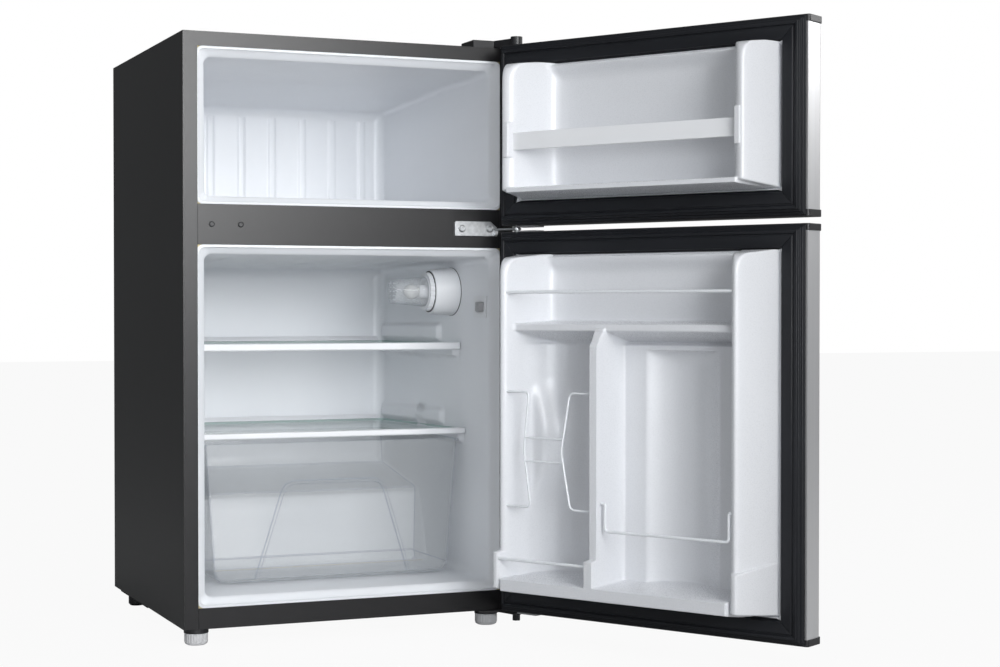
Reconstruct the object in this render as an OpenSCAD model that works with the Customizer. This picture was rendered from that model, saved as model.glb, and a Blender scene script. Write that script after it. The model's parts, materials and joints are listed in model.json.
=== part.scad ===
// Two-door compact refrigerator-freezer, both doors standing open on their right-hand hinges.
// Millimetres. X runs to the viewer's right, Y runs away from the viewer, Z is up, the floor is Z = 0.

/* [Cabinet] */
// Outside width of the cabinet
cab_w = 490; // [440:1:560]
// Depth of the cabinet without its doors
cab_d = 449; // [400:1:520]
// Height of the steel cabinet above its feet
cab_h = 818; // [700:1:900]
// Height of the feet under the cabinet
foot_h = 23; // [15:1:40]
// Width of the steel front flange
flange_w = 20.4; // [15:0.2:30]
// Thickness of the steel sheets
sheet = 1.2; // [0.6:0.1:2]

/* [Compartments] */
// Height of the bottom front rail
rail_h = 29; // [20:1:45]
// Height of the fridge opening
fridge_h = 498; // [400:1:560]
// Height of the cross rail between the compartments
mullion_h = 56; // [40:1:80]
// Height of the freezer opening
freezer_h = 215; // [150:1:280]
// Depth from the front flange to the inner back wall
inner_d = 402; // [340:1:420]
// Thickness of the white plastic liner
liner_t = 1.6; // [1:0.1:3]
// Spacing of the moulded ribs on the back wall and ceiling
rib_gap = 50.5; // [30:0.5:80]

/* [Doors] */
// How far both doors stand open
door_open = 119.5; // [0:0.5:130]
// Thickness of the door's metal-clad slab
door_t = 37; // [25:1:60]
// Gap between the cabinet front and the slab when closed
door_gap = 14; // [10:0.5:20]
// Height of the plastic caps on the doors' ends
cap_h = 9; // [5:1:20]
// Hinge pin, in from the door's edge
hinge_in = 10; // [8:0.5:25]
// Hinge pin, out from the inner face of the slab
hinge_out = 22; // [10:0.5:30]
// Height of the freezer door's side ridges
ridge_fz = 75; // [40:1:90]
// Height of the fridge door's side ridges
ridge_fg = 84; // [40:1:90]
// Height of the fridge door's ridges round the bottom pocket
ridge_low = 93; // [60:1:94]

/* [Shelves and drawer] */
// Top of the upper glass shelf above the floor
shelf_z = 410.5; // [300:0.5:480]
// Top of the crisper's glass cover above the floor
cover_z = 283; // [240:0.5:300]
// Front of the upper shelf, back from the flange
shelf_y = 103; // [95:1:140]
// Front of the crisper drawer, back from the flange
drawer_y = 88; // [84:1:120]

/* [Hidden] */
$fn = 48;
hw = cab_w / 2;
z_cab = foot_h;
z_fg0 = z_cab + rail_h;
z_fg1 = z_fg0 + fridge_h;
z_fz0 = z_fg1 + mullion_h;
z_fz1 = z_fz0 + freezer_h;
z_top = z_cab + cab_h;
open_w = hw - flange_w - 0.2;
pin_x = hw - hinge_in;
pin_y = -door_gap - hinge_out;
pin_r = 4;
bore_r = 4.06;
cap_over = 1.5;
draft = 0.0654;
// bottom and top of each door
fz_z = [z_cab + 558, z_cab + 816];
fg_z = [z_cab + 5, z_cab + 549];
// the open doors' free corners are the widest points, so the origin is centred under the whole
arm = hw + pin_x + cap_over;
corner_x = pin_x - arm * cos(door_open) + (door_t + cap_over - hinge_out) * sin(door_open);
corner_y = pin_y - arm * sin(door_open) + (hinge_out + cap_over) * cos(door_open);
frame_x = -(corner_x - hw) / 2;
frame_y = -(corner_y + cab_d) / 2;
niche_y = 286;
niche_z = 150;
mount_x = 66;
mount_y = 366;
lamp_y = 139;
lamp_z = 488;
wall_lamp = open_w - 12 - draft * (lamp_y - 12) - liner_t;
foot_l = [-223, 20];
foot_r = [211, 20];
top_screws = [[200, 28], [230, 28]];
low_screws = [[214, 60], [236, 60]];
back_z = [205, 420, 635, 820];
drain_x = -97;

// ---------- helpers ----------
module place() {
  translate([frame_x, frame_y, 0]) children();
}

// doors are drawn shut and turned about their pins
module swing() {
  place() translate([pin_x, pin_y, 0]) rotate([0, 0, door_open])
    translate([-pin_x, -pin_y, 0]) children();
}

module box(x0, x1, y0, y1, z0, z1) {
  translate([x0, y0, z0]) cube([x1 - x0, y1 - y0, z1 - z0]);
}

// a (y, z) profile run along X
module run_x(x0, x1) {
  translate([x0, 0, 0]) rotate([90, 0, 90]) linear_extrude(x1 - x0) children();
}

// an (x, z) profile run along Y
module run_y(y0, y1) {
  translate([0, y1, 0]) rotate([90, 0, 0]) linear_extrude(y1 - y0) children();
}

module run_z(z0, z1) {
  translate([0, 0, z0]) linear_extrude(z1 - z0) children();
}

module rod(a, b, r) {
  d = b - a;
  translate(a) rotate([0, acos(d[2] / norm(d)), atan2(d[1], d[0])]) cylinder(h = norm(d), r = r, $fn = 24);
}

// a bent wire: rods with a ball at each bend
module wire(pts, r) {
  for (i = [0 : len(pts) - 2]) rod(pts[i], pts[i + 1], r);
  for (i = [1 : len(pts) - 2]) translate(pts[i]) sphere(r = r * 1.06, $fn = 24);
}

module rrect(x0, x1, y0, y1, r) {
  translate([x0 + r, y0]) square([x1 - x0 - 2 * r, y1 - y0]);
  translate([x0, y0 + r]) square([x1 - x0, y1 - y0 - 2 * r]);
  for (x = [x0 + r, x1 - r]) for (y = [y0 + r, y1 - r]) translate([x, y]) circle(r = r);
}

// ---------- cabinet sheet metal ----------
module cabinet_wrap() {
  color([0.11, 0.11, 0.12]) place() difference() {
    box(-hw, hw, 0, cab_d, z_cab, z_top);
    box(-hw + sheet, hw - sheet, sheet, cab_d + 1, z_cab - 1, z_top - sheet);
    box(-open_w - 0.2, open_w + 0.2, -1, sheet + 1, z_cab - 1, z_fz1 + 0.2);
    for (p = top_screws) translate([p[0], p[1], z_top - 3]) cylinder(h = 5, r = 2.7, $fn = 24);
  }
}

module mullion_rail() {
  color([0.13, 0.13, 0.14]) place() difference() {
    box(-open_w, open_w, 0, sheet, z_fg1 + 0.2, z_fz0 - 0.2);
    for (x = [-205, -164]) plug_hole(x);
    for (x = [164, 207]) plug_hole(x);
  }
}

module plug_hole(x) {
  translate([x, -1, z_fg1 + mullion_h / 2]) rotate([-90, 0, 0]) cylinder(h = 3, r = 2.6, $fn = 24);
}

// the floor of the cabinet, folded up at the front into the bottom rail
module bottom_pan() {
  color([0.1, 0.1, 0.11]) place() difference() {
    union() {
      box(-open_w, open_w, 0, sheet, z_cab, z_fg0 - 0.2);
      box(-open_w, open_w, 0, 3, z_cab, z_cab + sheet);
      box(-hw + sheet + 0.1, hw - sheet - 0.1, sheet + 0.1, niche_y - 0.2, z_cab, z_cab + sheet);
    }
    for (p = [foot_l, foot_r]) translate([p[0], p[1], z_cab - 1]) cylinder(h = 4, r = 5);
    for (p = low_screws) translate([p[0], p[1], z_cab - 1]) cylinder(h = 4, r = 2.7, $fn = 24);
  }
}

module niche_panel() {
  color([0.16, 0.16, 0.17]) place() difference() {
    run_x(-hw + sheet + 0.1, hw - sheet - 0.1) polygon([
      [niche_y, z_cab], [niche_y, niche_z], [446.5, 184], [446.5, 182.8],
      [niche_y + sheet, niche_z - 1.4], [niche_y + sheet, z_cab]
    ]);
    translate([drain_x, 412, 160]) cylinder(h = 40, r = 4.6);
  }
}

module back_panel() {
  color([0.12, 0.12, 0.13]) place() {
    difference() {
      box(-hw + sheet + 0.1, hw - sheet - 0.1, 447, 448, 184.5, z_top - sheet - 0.1);
      for (x = [-205, 205]) for (z = back_z) translate([x, 446, z]) rotate([-90, 0, 0])
        cylinder(h = 3, r = 2, $fn = 24);
    }
  }
}

module compressor_tray() {
  color([0.09, 0.09, 0.1]) place() difference() {
    union() {
      box(-237, 237, niche_y - 30, 440, 16, 17.4);
      for (s = [-1, 1]) box(s > 0 ? 235.6 : -237, s > 0 ? 237 : -235.6, niche_y - 30, 440, 16, 22.7);
      box(-237, 237, niche_y - 30, niche_y - 28.6, 16, 22.7);
      box(-237, 237, 438.6, 440, 16, 30);
      box(128, 172, 438.6, 440, 16, 58);
    }
    for (x = [-60, 60]) for (y = [-56, 56]) translate([mount_x + x, mount_y + y, 15])
      cylinder(h = 4, r = 4.2, $fn = 24);
    for (s = [-1, 1]) translate([s * 222, 395, 15]) cylinder(h = 3, r = 4.2, $fn = 24);
    translate([150, 437, 42]) rotate([-90, 0, 0]) cylinder(h = 5, r = 6.6);
  }
}

// ---------- compartments ----------
// e = 0 is the liner's outer face and e = liner_t its visible face
module room_plan(e) {
  y1 = inner_d + liner_t - e;
  wb = open_w - 12 + liner_t - draft * (y1 - 12) - e;
  w1 = open_w - 12 + liner_t - e;
  r = 10;
  a = [for (t = [0 : 15 : 90]) [wb - r + r * cos(t), y1 - r + r * sin(t)]];
  b = [for (t = [90 : 15 : 180]) [-wb + r + r * cos(t), y1 - r + r * sin(t)]];
  polygon(concat([[-open_w + e, -0.01], [open_w - e, -0.01], [open_w - e, 0], [w1, 12]], a, b,
    [[-w1, 12], [-open_w + e, 0]]));
}

module freezer_room(e) {
  y1 = inner_d + liner_t - e;
  intersection() {
    run_z(z_fz0 - 5, z_fz1 + 5) room_plan(e);
    run_x(-hw, hw) polygon([
      [-1, z_fz0 + e], [0, z_fz0 + e], [12, z_fz0 + 9 + e], [y1 - 8, z_fz0 + 15 + e], [y1 + 1, z_fz0 + 24 + e],
      [y1 + 1, z_fz1 - 46 - e], [y1 - 8, z_fz1 - 38 - e], [190, z_fz1 - 20.5 - e], [12, z_fz1 - 12 - e],
      [0, z_fz1 - e], [-1, z_fz1 - e]
    ]);
  }
}

module fridge_room(e) {
  y1 = inner_d + liner_t - e;
  intersection() {
    run_z(z_fg0 - 5, z_fg1 + 5) room_plan(e);
    run_x(-hw, hw) polygon([
      [-1, z_fg0 + e], [0, z_fg0 + e], [12, z_fg0 + 11 + e], [218, z_fg0 + 15 + e], [240, z_fg0 + 30 + e],
      [256, 172 + e], [y1 + 1, 208 + e],
      [y1 + 1, z_fg1 - 38 - e], [y1 - 10, z_fg1 - 22 - e], [12, z_fg1 - 11 - e], [0, z_fg1 - e],
      [-1, z_fg1 - e]
    ]);
  }
}

// wall pads stand on the side walls, s = 1 right and s = -1 left
module wall_pad(s, y0, y1, z0, z1, h) {
  w0 = open_w - 12 - draft * (y0 - 12);
  w1 = open_w - 12 - draft * (y1 - 12);
  run_z(z0, z1) polygon([[s * w0, y0], [s * (w0 - h), y0 + h], [s * (w1 - h), y1], [s * (w1 + 0.4), y1],
    [s * (w0 + 0.4), y0]]);
}

module freezer_liner() {
  color([0.93, 0.94, 0.95]) place() {
    difference() {
      union() {
        freezer_room(0);
        box(-open_w - 8, open_w + 8, sheet + 0.1, sheet + 1.7, z_fz0 - 8, z_fz1 + 8);
      }
      freezer_room(liner_t);
      box(-hw, hw, -1, 0, z_fz0 - 9, z_fz1 + 9);
    }
    for (k = [-3 : 3]) box(k * rib_gap - 4.5, k * rib_gap + 4.5, inner_d - 2, inner_d + 0.4,
      z_fz0 + 26, z_fz1 - 49);
  }
}

module fridge_liner() {
  color([0.93, 0.94, 0.95]) place() {
    difference() {
      union() {
        fridge_room(0);
        box(-open_w - 8, open_w + 8, sheet + 0.1, sheet + 1.7, z_fg0 - 8, z_fg1 + 8);
      }
      fridge_room(liner_t);
      box(-hw, hw, -1, 0, z_fg0 - 9, z_fg1 + 9);
      switch_pocket(0);
    }
    for (s = [-1, 1]) {
      wall_pad(s, shelf_y + 10, 386, shelf_z - 20, shelf_z - 4.2, 9);
      wall_pad(s, 172, 386, shelf_z + 4, shelf_z + 28, 7);
      wall_pad(s, drawer_y + 8, 386, cover_z - 20, cover_z - 4.2, 9);
      wall_pad(s, 162, 386, cover_z + 4, cover_z + 25, 7);
    }
    for (k = [-3 : 3]) run_x(k * rib_gap - 3, k * rib_gap + 3) polygon([
      [96, z_fg1 - 14.4], [104, z_fg1 - 17], [372, z_fg1 - 24.6], [372, z_fg1 - 22.6], [96, z_fg1 - 14.2]
    ]);
  }
}

module foam_block() {
  difference() {
    box(-hw + 6.6, hw - 6.6, sheet + 1.8, 446.6, z_cab + sheet + 0.1, z_top - sheet - 0.2);
    freezer_room(-0.05);
    fridge_room(-0.05);
    run_x(-hw, hw) polygon([[niche_y - 0.3, 0], [niche_y - 0.3, niche_z + 0.3], [447, 184.4], [460, 184.4],
      [460, 0]]);
    box(-176, 176, inner_d, inner_d + 12, z_fz0 + 22, z_fz1 - 45);
    for (p = [foot_l, foot_r]) translate([p[0], p[1], 20]) cylinder(h = 20, r = 9);
    for (p = low_screws) translate([p[0], p[1], 20]) cylinder(h = 16, r = 3.2, $fn = 24);
    for (p = top_screws) translate([p[0], p[1], z_top - 12]) cylinder(h = 14, r = 3.2, $fn = 24);
    for (x = [-205, -164, 164, 207]) translate([x, 0, z_fg1 + mullion_h / 2]) rotate([-90, 0, 0])
      cylinder(h = 12, r = 3.2, $fn = 24);
    for (x = [-205, 205]) for (z = back_z) translate([x, 439, z]) rotate([-90, 0, 0])
      cylinder(h = 12, r = 2.5, $fn = 24);
    switch_pocket(0.3);
    translate([drain_x, 412, 170]) cylinder(h = 54, r = 4.8);
    box(drain_x - 4.8, drain_x + 4.8, 402, 412, 212, 224);
  }
}

module insulation() {
  color([0.9, 0.84, 0.6]) place() foam_block();
}

module evaporator() {
  color([0.75, 0.76, 0.78]) place() {
    y = inner_d + 6;
    box(-172, 172, inner_d + 1.8, inner_d + 3.5, z_fz0 + 26, z_fz1 - 50);
    for (k = [0 : 4]) rod([-160, y, z_fz0 + 36 + k * 28], [160, y, z_fz0 + 36 + k * 28], 2.6);
    for (k = [0 : 3]) {
      x = k % 2 == 0 ? 160 : -160;
      rod([x, y, z_fz0 + 36 + k * 28], [x, y, z_fz0 + 64 + k * 28], 2.6);
    }
  }
}

module condenser() {
  color([0.6, 0.45, 0.3]) place() for (s = [-1, 1]) {
    x = s * (hw - sheet - 2.8);
    for (k = [0 : 3]) rod([x, 90 + k * 90, 210], [x, 90 + k * 90, 800], 2.4);
    for (k = [0 : 2]) {
      z = k % 2 == 0 ? 800 : 210;
      rod([x, 90 + k * 90, z], [x, 180 + k * 90, z], 2.4);
    }
    for (k = [0 : 3]) for (z = [210, 800]) translate([x, 90 + k * 90, z]) sphere(r = 2.4, $fn = 16);
  }
}

// ---------- machine niche ----------
module compressor() {
  color([0.06, 0.06, 0.065]) place() translate([mount_x, mount_y, 0]) {
    difference() {
      rotate_extrude() polygon([
        [0, 30], [40, 30], [56, 35], [63, 44], [63, 86], [66, 87], [66, 92], [62, 93], [61, 118], [54, 130],
        [36, 138], [0, 140]
      ]);
      box(-34, 34, -70, -50, 44, 84);
    }
    for (x = [-60, 60]) for (y = [-56, 56]) difference() {
      union() {
        translate([x, y, 30]) cylinder(h = 3, r = 11);
        box(min(x, x * 0.45), max(x, x * 0.45), y > 0 ? 36 : -56, y > 0 ? 56 : -36, 30, 33);
      }
      translate([x, y, 29]) cylinder(h = 5, r = 4.4, $fn = 24);
    }
  }
}

module compressor_grommets() {
  color([0.05, 0.05, 0.05]) place() for (x = [-60, 60]) for (y = [-56, 56])
    translate([mount_x + x, mount_y + y, 0]) rotate_extrude($fn = 32) polygon([
      [3.3, 17.5], [9, 17.5], [9, 21], [7, 22.5], [7, 26.5], [9, 29.9], [3.3, 29.9]
    ]);
}

// a bolt up through the tray, a grommet and the compressor's foot, with washer and nut
module mount_bolt() {
  translate([0, 0, 12.9]) cylinder(h = 3, r = 6, $fn = 6);
  translate([0, 0, 15]) cylinder(h = 20.5, r = 3.2, $fn = 24);
  translate([0, 0, 33.2]) cylinder(h = 1.2, r = 7.5);
  translate([0, 0, 34.4]) cylinder(h = 4, r = 5.5, $fn = 6);
}

module relay_box() {
  color([0.08, 0.08, 0.09]) place() translate([mount_x, mount_y, 0]) {
    box(-31, 31, -76, -51, 47, 81);
    box(-20, 20, -77.5, -76, 52, 76);
  }
}

// suction, discharge and process tubes, with the filter drier in the line to the evaporator
module refrigerant_tubes() {
  x = mount_x;
  y = mount_y;
  color([0.72, 0.42, 0.26]) place() {
    wire([[x + 48.5, y + 42, 110], [x + 84, y + 42, 110], [x + 84, 424, 110], [x + 84, 424, 166]], 3.2);
    wire([[x - 52, y + 40, 60], [x - 92, y + 40, 60], [x - 92, 430, 60], [-150, 430, 60],
      [-150, 430, 74]], 2.6);
    wire([[-150, 430, 146], [-150, 430, 166], [-190, 430, 166]], 2.2);
    wire([[x - 54, y + 36, 100], [x - 74, y + 36, 100], [x - 74, y + 36, 126]], 2.6);
    translate([-150, 430, 72]) {
      cylinder(h = 12, r1 = 3, r2 = 9);
      translate([0, 0, 12]) cylinder(h = 52, r = 9);
      translate([0, 0, 64]) cylinder(h = 12, r1 = 9, r2 = 3);
    }
  }
}

module drain_tray() {
  color([0.14, 0.14, 0.15]) place() {
    difference() {
      box(-134, -60, 345, 424, 60, 98);
      box(-132, -62, 347, 422, 62, 99);
    }
    for (x = [-130, -66]) box(x, x + 2, 352, 400, 17.4, 60.5);
    box(-130, -64, 352, 400, 17.4, 19);
  }
}

module drain_tube() {
  z = 218;
  color([0.2, 0.2, 0.22]) place() difference() {
    union() {
      rod([drain_x, inner_d + liner_t + 0.1, z], [drain_x, 412, z], 4);
      rod([drain_x, 412, z], [drain_x, 412, 112], 4);
      translate([drain_x, 412, z]) sphere(r = 4, $fn = 16);
    }
    rod([drain_x, inner_d, z], [drain_x, 412, z], 2.4);
    rod([drain_x, 412, z + 0.5], [drain_x, 412, 110], 2.4);
  }
}

module cord_grommet() {
  color([0.04, 0.04, 0.04]) place() translate([150, 440.1, 42]) rotate([-90, 0, 0]) difference() {
    union() {
      cylinder(h = 3, r = 9);
      translate([0, 0, -8]) cylinder(h = 8, r = 6.5);
    }
    translate([0, 0, -9]) cylinder(h = 13, r = 4);
  }
}

// ---------- feet ----------
module levelling_foot(p) {
  translate([p[0], p[1], 0]) {
    difference() {
      rotate_extrude($fn = 72) polygon([[0, 0], [12.5, 0], [15.2, 1.6], [16.2, 4.5], [16.2, 16], [0, 16]]);
      for (a = [0 : 15 : 345]) rotate([0, 0, a]) translate([16.7, 0, 4]) cylinder(h = 13, r = 1.1, $fn = 12);
    }
    translate([0, 0, 16]) cylinder(h = 15, r = pin_r, $fn = 32);
  }
}

module foot_left() {
  color([0.86, 0.86, 0.86]) place() levelling_foot(foot_l);
}

module foot_right() {
  color([0.86, 0.86, 0.86]) place() levelling_foot(foot_r);
}

module foot_collars() {
  color([0.06, 0.06, 0.06]) place() for (p = [foot_l, foot_r]) translate([p[0], p[1], 0]) difference() {
    union() {
      translate([0, 0, 16.4]) cylinder(h = p[0] > 0 ? 3.8 : 6.5, r = 17);
      translate([0, 0, 20]) cylinder(h = 14, r = p[0] > 0 ? 4.9 : 4.95);
      translate([0, 0, z_cab + sheet + 0.1]) cylinder(h = 10, r = 7, $fn = 6);
    }
    translate([0, 0, 10]) cylinder(h = 30, r = bore_r, $fn = 32);
  }
}

module rear_feet() {
  color([0.05, 0.05, 0.05]) place() for (s = [-1, 1]) translate([s * 222, 395, 0])
    rotate_extrude() polygon([[0, 0], [9.5, 0], [12.5, 3], [12.5, 14.5], [11, 15.95], [4.1, 15.95], [4.1, 19],
      [0, 19]]);
}

// ---------- hinges ----------
module top_hinge() {
  color([0.72, 0.73, 0.75]) place() {
    run_z(z_top, z_top + 2.5) difference() {
      union() {
        polygon([[190, 4], [219, 4], [229, -30], [229, pin_y], [241, pin_y], [241, 40], [190, 40]]);
        translate([pin_x, pin_y]) circle(r = 7);
      }
      for (p = top_screws) translate(p) circle(r = 2.6, $fn = 24);
    }
    translate([pin_x, pin_y, fz_z[1] - 8]) cylinder(h = z_top + 2.5 - fz_z[1] + 8, r = pin_r, $fn = 32);
  }
}

module hinge_cover() {
  color([0.16, 0.16, 0.17]) place() difference() {
    union() {
      run_z(z_top, z_top + 10) polygon([[183, 0], [215, 0], [227, -30], [228, pin_y], [243.5, pin_y],
        [243.5, 46], [183, 46]]);
      translate([pin_x, pin_y, fz_z[1] + 0.5]) cylinder(h = 13.7, r = 8.5);
    }
    run_z(z_top - 1, z_top + 8) polygon([[185, 2], [216.5, 2], [228, -28], [229.6, -28], [241.5, -28],
      [241.5, 44], [185, 44]]);
    translate([pin_x, pin_y, 800]) cylinder(h = z_top - 800 + 8, r = 7.2);
    run_z(z_top - 1, z_top + 2.6) polygon([[228, -28], [228.9, pin_y], [241.1, pin_y], [241.1, -27],
      [228, -27]]);
  }
}

// hinge bolts, back panel screws and the compressor's mounting bolts
module cabinet_screws() {
  color([0.7, 0.7, 0.72]) place() {
    for (p = top_screws) translate([p[0], p[1], z_top]) {
      translate([0, 0, -10]) cylinder(h = 13, r = 2.5, $fn = 24);
      translate([0, 0, 2.55]) cylinder(h = 3, r = 5, $fn = 6);
    }
    for (p = low_screws) translate([p[0], p[1], z_cab]) {
      translate([0, 0, -3]) cylinder(h = 14, r = 2.5, $fn = 24);
      translate([0, 0, -5.55]) cylinder(h = 3, r = 5, $fn = 6);
    }
    for (x = [-205, 205]) for (z = back_z) translate([x, 448.05, z]) rotate([-90, 0, 0]) {
      cylinder(h = 0.9, r = 4, $fn = 24);
      translate([0, 0, -8]) cylinder(h = 8.5, r = 1.9, $fn = 24);
    }
    for (x = [-60, 60]) for (y = [-56, 56]) translate([mount_x + x, mount_y + y, 0]) mount_bolt();
  }
}

module mid_hinge() {
  z = z_fg1 + mullion_h / 2;
  color([0.74, 0.75, 0.76]) place() {
    difference() {
      union() {
        run_y(-2.5, -0.02) polygon([[153, z - 10.5], [153, z + 9], [155, z + 10.4], [209, z + 10.4],
          [219, z + 2], [219, z - 10.5]]);
        run_z(z - 2.2, z + 0.3) {
          polygon([[213.5, -2.5], [219, -2.5], [241, -20], [241, pin_y], [229, pin_y], [222, -24]]);
          translate([pin_x, pin_y]) circle(r = 7);
        }
        translate([213.5, -2.5, z - 2.2]) rotate([90, 0, 0]) linear_extrude(5)
          polygon([[0, 0], [0, -7], [4.5, -7], [5.5, 0]]);
      }
      for (x = [164, 207]) translate([x, -3, z]) rotate([-90, 0, 0]) cylinder(h = 4, r = 2.6, $fn = 24);
    }
    translate([pin_x, pin_y, fg_z[1] - 8]) cylinder(h = fz_z[0] - fg_z[1] + 16, r = pin_r, $fn = 32);
    translate([pin_x, pin_y, z + 0.3]) cylinder(h = 1.6, r = 6.2, $fn = 6);
    translate([pin_x, pin_y, z - 4]) cylinder(h = 1.8, r = 6.2, $fn = 6);
  }
}

module mid_hinge_screws() {
  z = z_fg1 + mullion_h / 2;
  color([0.78, 0.79, 0.8]) place() for (x = [164, 207]) translate([x, -2.55, z]) rotate([90, 0, 0])
    difference() {
      union() {
        cylinder(h = 1.4, r = 5.4);
        translate([0, 0, 1.4]) cylinder(h = 1.4, r1 = 5.4, r2 = 3.6);
        translate([0, 0, -12]) cylinder(h = 12.5, r = 2.5, $fn = 24);
      }
      for (a = [0, 90]) rotate([0, 0, a]) translate([-3, -0.6, 1]) cube([6, 1.2, 3]);
    }
}

module mullion_plugs() {
  color([0.2, 0.2, 0.21]) place() for (x = [-205, -164])
    translate([x, 0, z_fg1 + mullion_h / 2]) rotate([90, 0, 0]) {
      cylinder(h = 1, r = 4);
      translate([0, 0, 1]) cylinder(h = 0.6, r1 = 4, r2 = 2.6);
      translate([0, 0, -6]) cylinder(h = 6, r = 2.5, $fn = 24);
    }
}

module bottom_hinge() {
  color([0.3, 0.3, 0.31]) place() {
    run_z(z_cab - 2.5, z_cab - 0.05) difference() {
      union() {
        polygon([[190, 74], [243, 74], [243, -20], [241.6, pin_y], [228.4, pin_y], [219, -10], [190, -4]]);
        translate([pin_x, pin_y]) circle(r = 7);
      }
      translate(foot_r) circle(r = 5);
      for (p = low_screws) translate(p) circle(r = 2.6, $fn = 24);
    }
    translate([pin_x, pin_y, z_cab - 11]) cylinder(h = 8.5, r = 6, $fn = 6);
    translate([pin_x, pin_y, z_cab - 0.05]) cylinder(h = fg_z[0] - z_cab + 8, r = pin_r, $fn = 32);
  }
}

// ---------- fridge fittings ----------
module thermostat_housing() {
  color([0.93, 0.93, 0.92]) place() {
    translate([wall_lamp, lamp_y, lamp_z]) rotate([0, -90, 0]) difference() {
      union() {
        translate([0, 0, 2]) cylinder(h = 33, r1 = 36, r2 = 33.5);
        translate([0, 0, 34]) cylinder(h = 9, r = 23.95);
      }
      translate([0, 0, 1]) cylinder(h = 31, r = 31);
      translate([0, 0, 30]) cylinder(h = 14, r = 20);
    }
    difference() {
      intersection() {
        translate([wall_lamp + 6, lamp_y, lamp_z]) rotate([0, -90, 0]) cylinder(h = 8.1, r = 36);
        fridge_room(liner_t + 0.05);
      }
      translate([wall_lamp + 7, lamp_y, lamp_z]) rotate([0, -90, 0]) cylinder(h = 10, r = 31);
    }
  }
}

// the thermostat's body on its side wall, and its spindle
module thermostat_switch() {
  color([0.75, 0.75, 0.72]) place() {
    box(wall_lamp - 24, wall_lamp - 2, lamp_y - 12, lamp_y + 12, lamp_z - 28, lamp_z - 10);
    translate([wall_lamp - 23, lamp_y, lamp_z - 17]) rotate([0, -90, 0]) cylinder(h = 7, r = 3, $fn = 24);
  }
}

module thermostat_dial() {
  color([0.9, 0.9, 0.9]) place() translate([wall_lamp - 35.4, lamp_y, lamp_z]) rotate([0, -90, 0])
    difference() {
      cylinder(h = 7, r = 29);
      translate([0, 0, -1]) cylinder(h = 9, r = 24.01);
      for (a = [0 : 15 : 345]) rotate([0, 0, a]) translate([29.8, 0, -1]) cylinder(h = 9, r = 1.8, $fn = 12);
      rotate([0, 0, 90]) translate([25.2, -0.8, 6.3]) cube([3, 1.6, 2]);
    }
}

module lamp_cover() {
  color([0.85, 0.9, 0.92, 0.45]) place() translate([wall_lamp - 43.1, lamp_y, lamp_z]) rotate([0, -90, 0])
    difference() {
      cylinder(h = 52, r1 = 22.5, r2 = 17.5);
      translate([0, 0, -1]) cylinder(h = 51, r1 = 21, r2 = 16);
      for (k = [-2 : 2]) for (s = [0, 1]) translate([k * 6 - 1.2, s * 14.6 - 13, 48]) cube([2.4, 11.4, 6]);
      for (k = [-2 : 2]) translate([-30, k * 6 - 1.2, 36]) cube([60, 2.4, 9]);
    }
}

module lamp_socket() {
  color([0.88, 0.88, 0.86]) place() translate([wall_lamp - 32.4, lamp_y, lamp_z]) rotate([0, -90, 0])
    difference() {
      union() {
        cylinder(h = 20, r = 10);
        cylinder(h = 2, r = 19.9);
      }
      translate([0, 0, 4]) cylinder(h = 17, r = 7.2);
    }
}

module bulb() {
  color([0.95, 0.95, 0.9]) place() translate([wall_lamp - 36.8, lamp_y, lamp_z]) rotate([0, -90, 0]) {
    cylinder(h = 16, r = 6.8);
    translate([0, 0, 16]) cylinder(h = 5, r1 = 6.8, r2 = 9);
    translate([0, 0, 27]) sphere(r = 11.2, $fn = 32);
  }
}

module switch_pocket(e) {
  w = open_w - 12 - draft * 26;
  translate([w, 38, 465]) rotate([0, 0, -90]) box(-17 - e, 17 + e, -3, 16 + e, -12 - e, 12 + e);
}

// the door switch: a plate with a box behind it, let into the side wall, and the rocker's axle
module on_switch() {
  translate([open_w - 12 - draft * 26, 38, 465]) rotate([0, 0, atan(draft)]) children();
}

module switch_plate() {
  color([0.88, 0.88, 0.86]) place() on_switch() {
    difference() {
      union() {
        box(-1.75, -0.15, -21, 21, -16, 16);
        box(-0.2, 13, -15.6, 15.6, -11.2, 11.2);
      }
      box(-0.5, 12, -14, 14, -9.6, 9.6);
      box(-6, 3, -12.4, 12.4, -7.4, 7.4);
    }
    translate([0.4, 9.4, -10]) cylinder(h = 20, r = 1, $fn = 24);
  }
}

module switch_rocker() {
  color([0.12, 0.12, 0.13]) place() on_switch() difference() {
    union() {
      run_z(-6.6, 6.6) polygon([[-1.6, 11.6], [-4.2, 11.2], [-9, -2], [-8, -9], [1, -11.4], [3, 11.4]]);
      translate([0.4, 9.4, -6.6]) cylinder(h = 13.2, r = 2.2, $fn = 24);
    }
    translate([0.4, 9.4, -8]) cylinder(h = 16, r = 1.06, $fn = 24);
  }
}

// ---------- shelves and drawer ----------
function wall_at(y) = open_w - 12 - draft * (y - 12);

module shelf_glass_at(y0, z) {
  run_z(z - 4, z) polygon([[-wall_at(y0 + 12) + 2.5, y0 + 1.5], [wall_at(y0 + 12) - 2.5, y0 + 1.5],
    [wall_at(394) - 2.5, 394], [-wall_at(394) + 2.5, 394]]);
}

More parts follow.
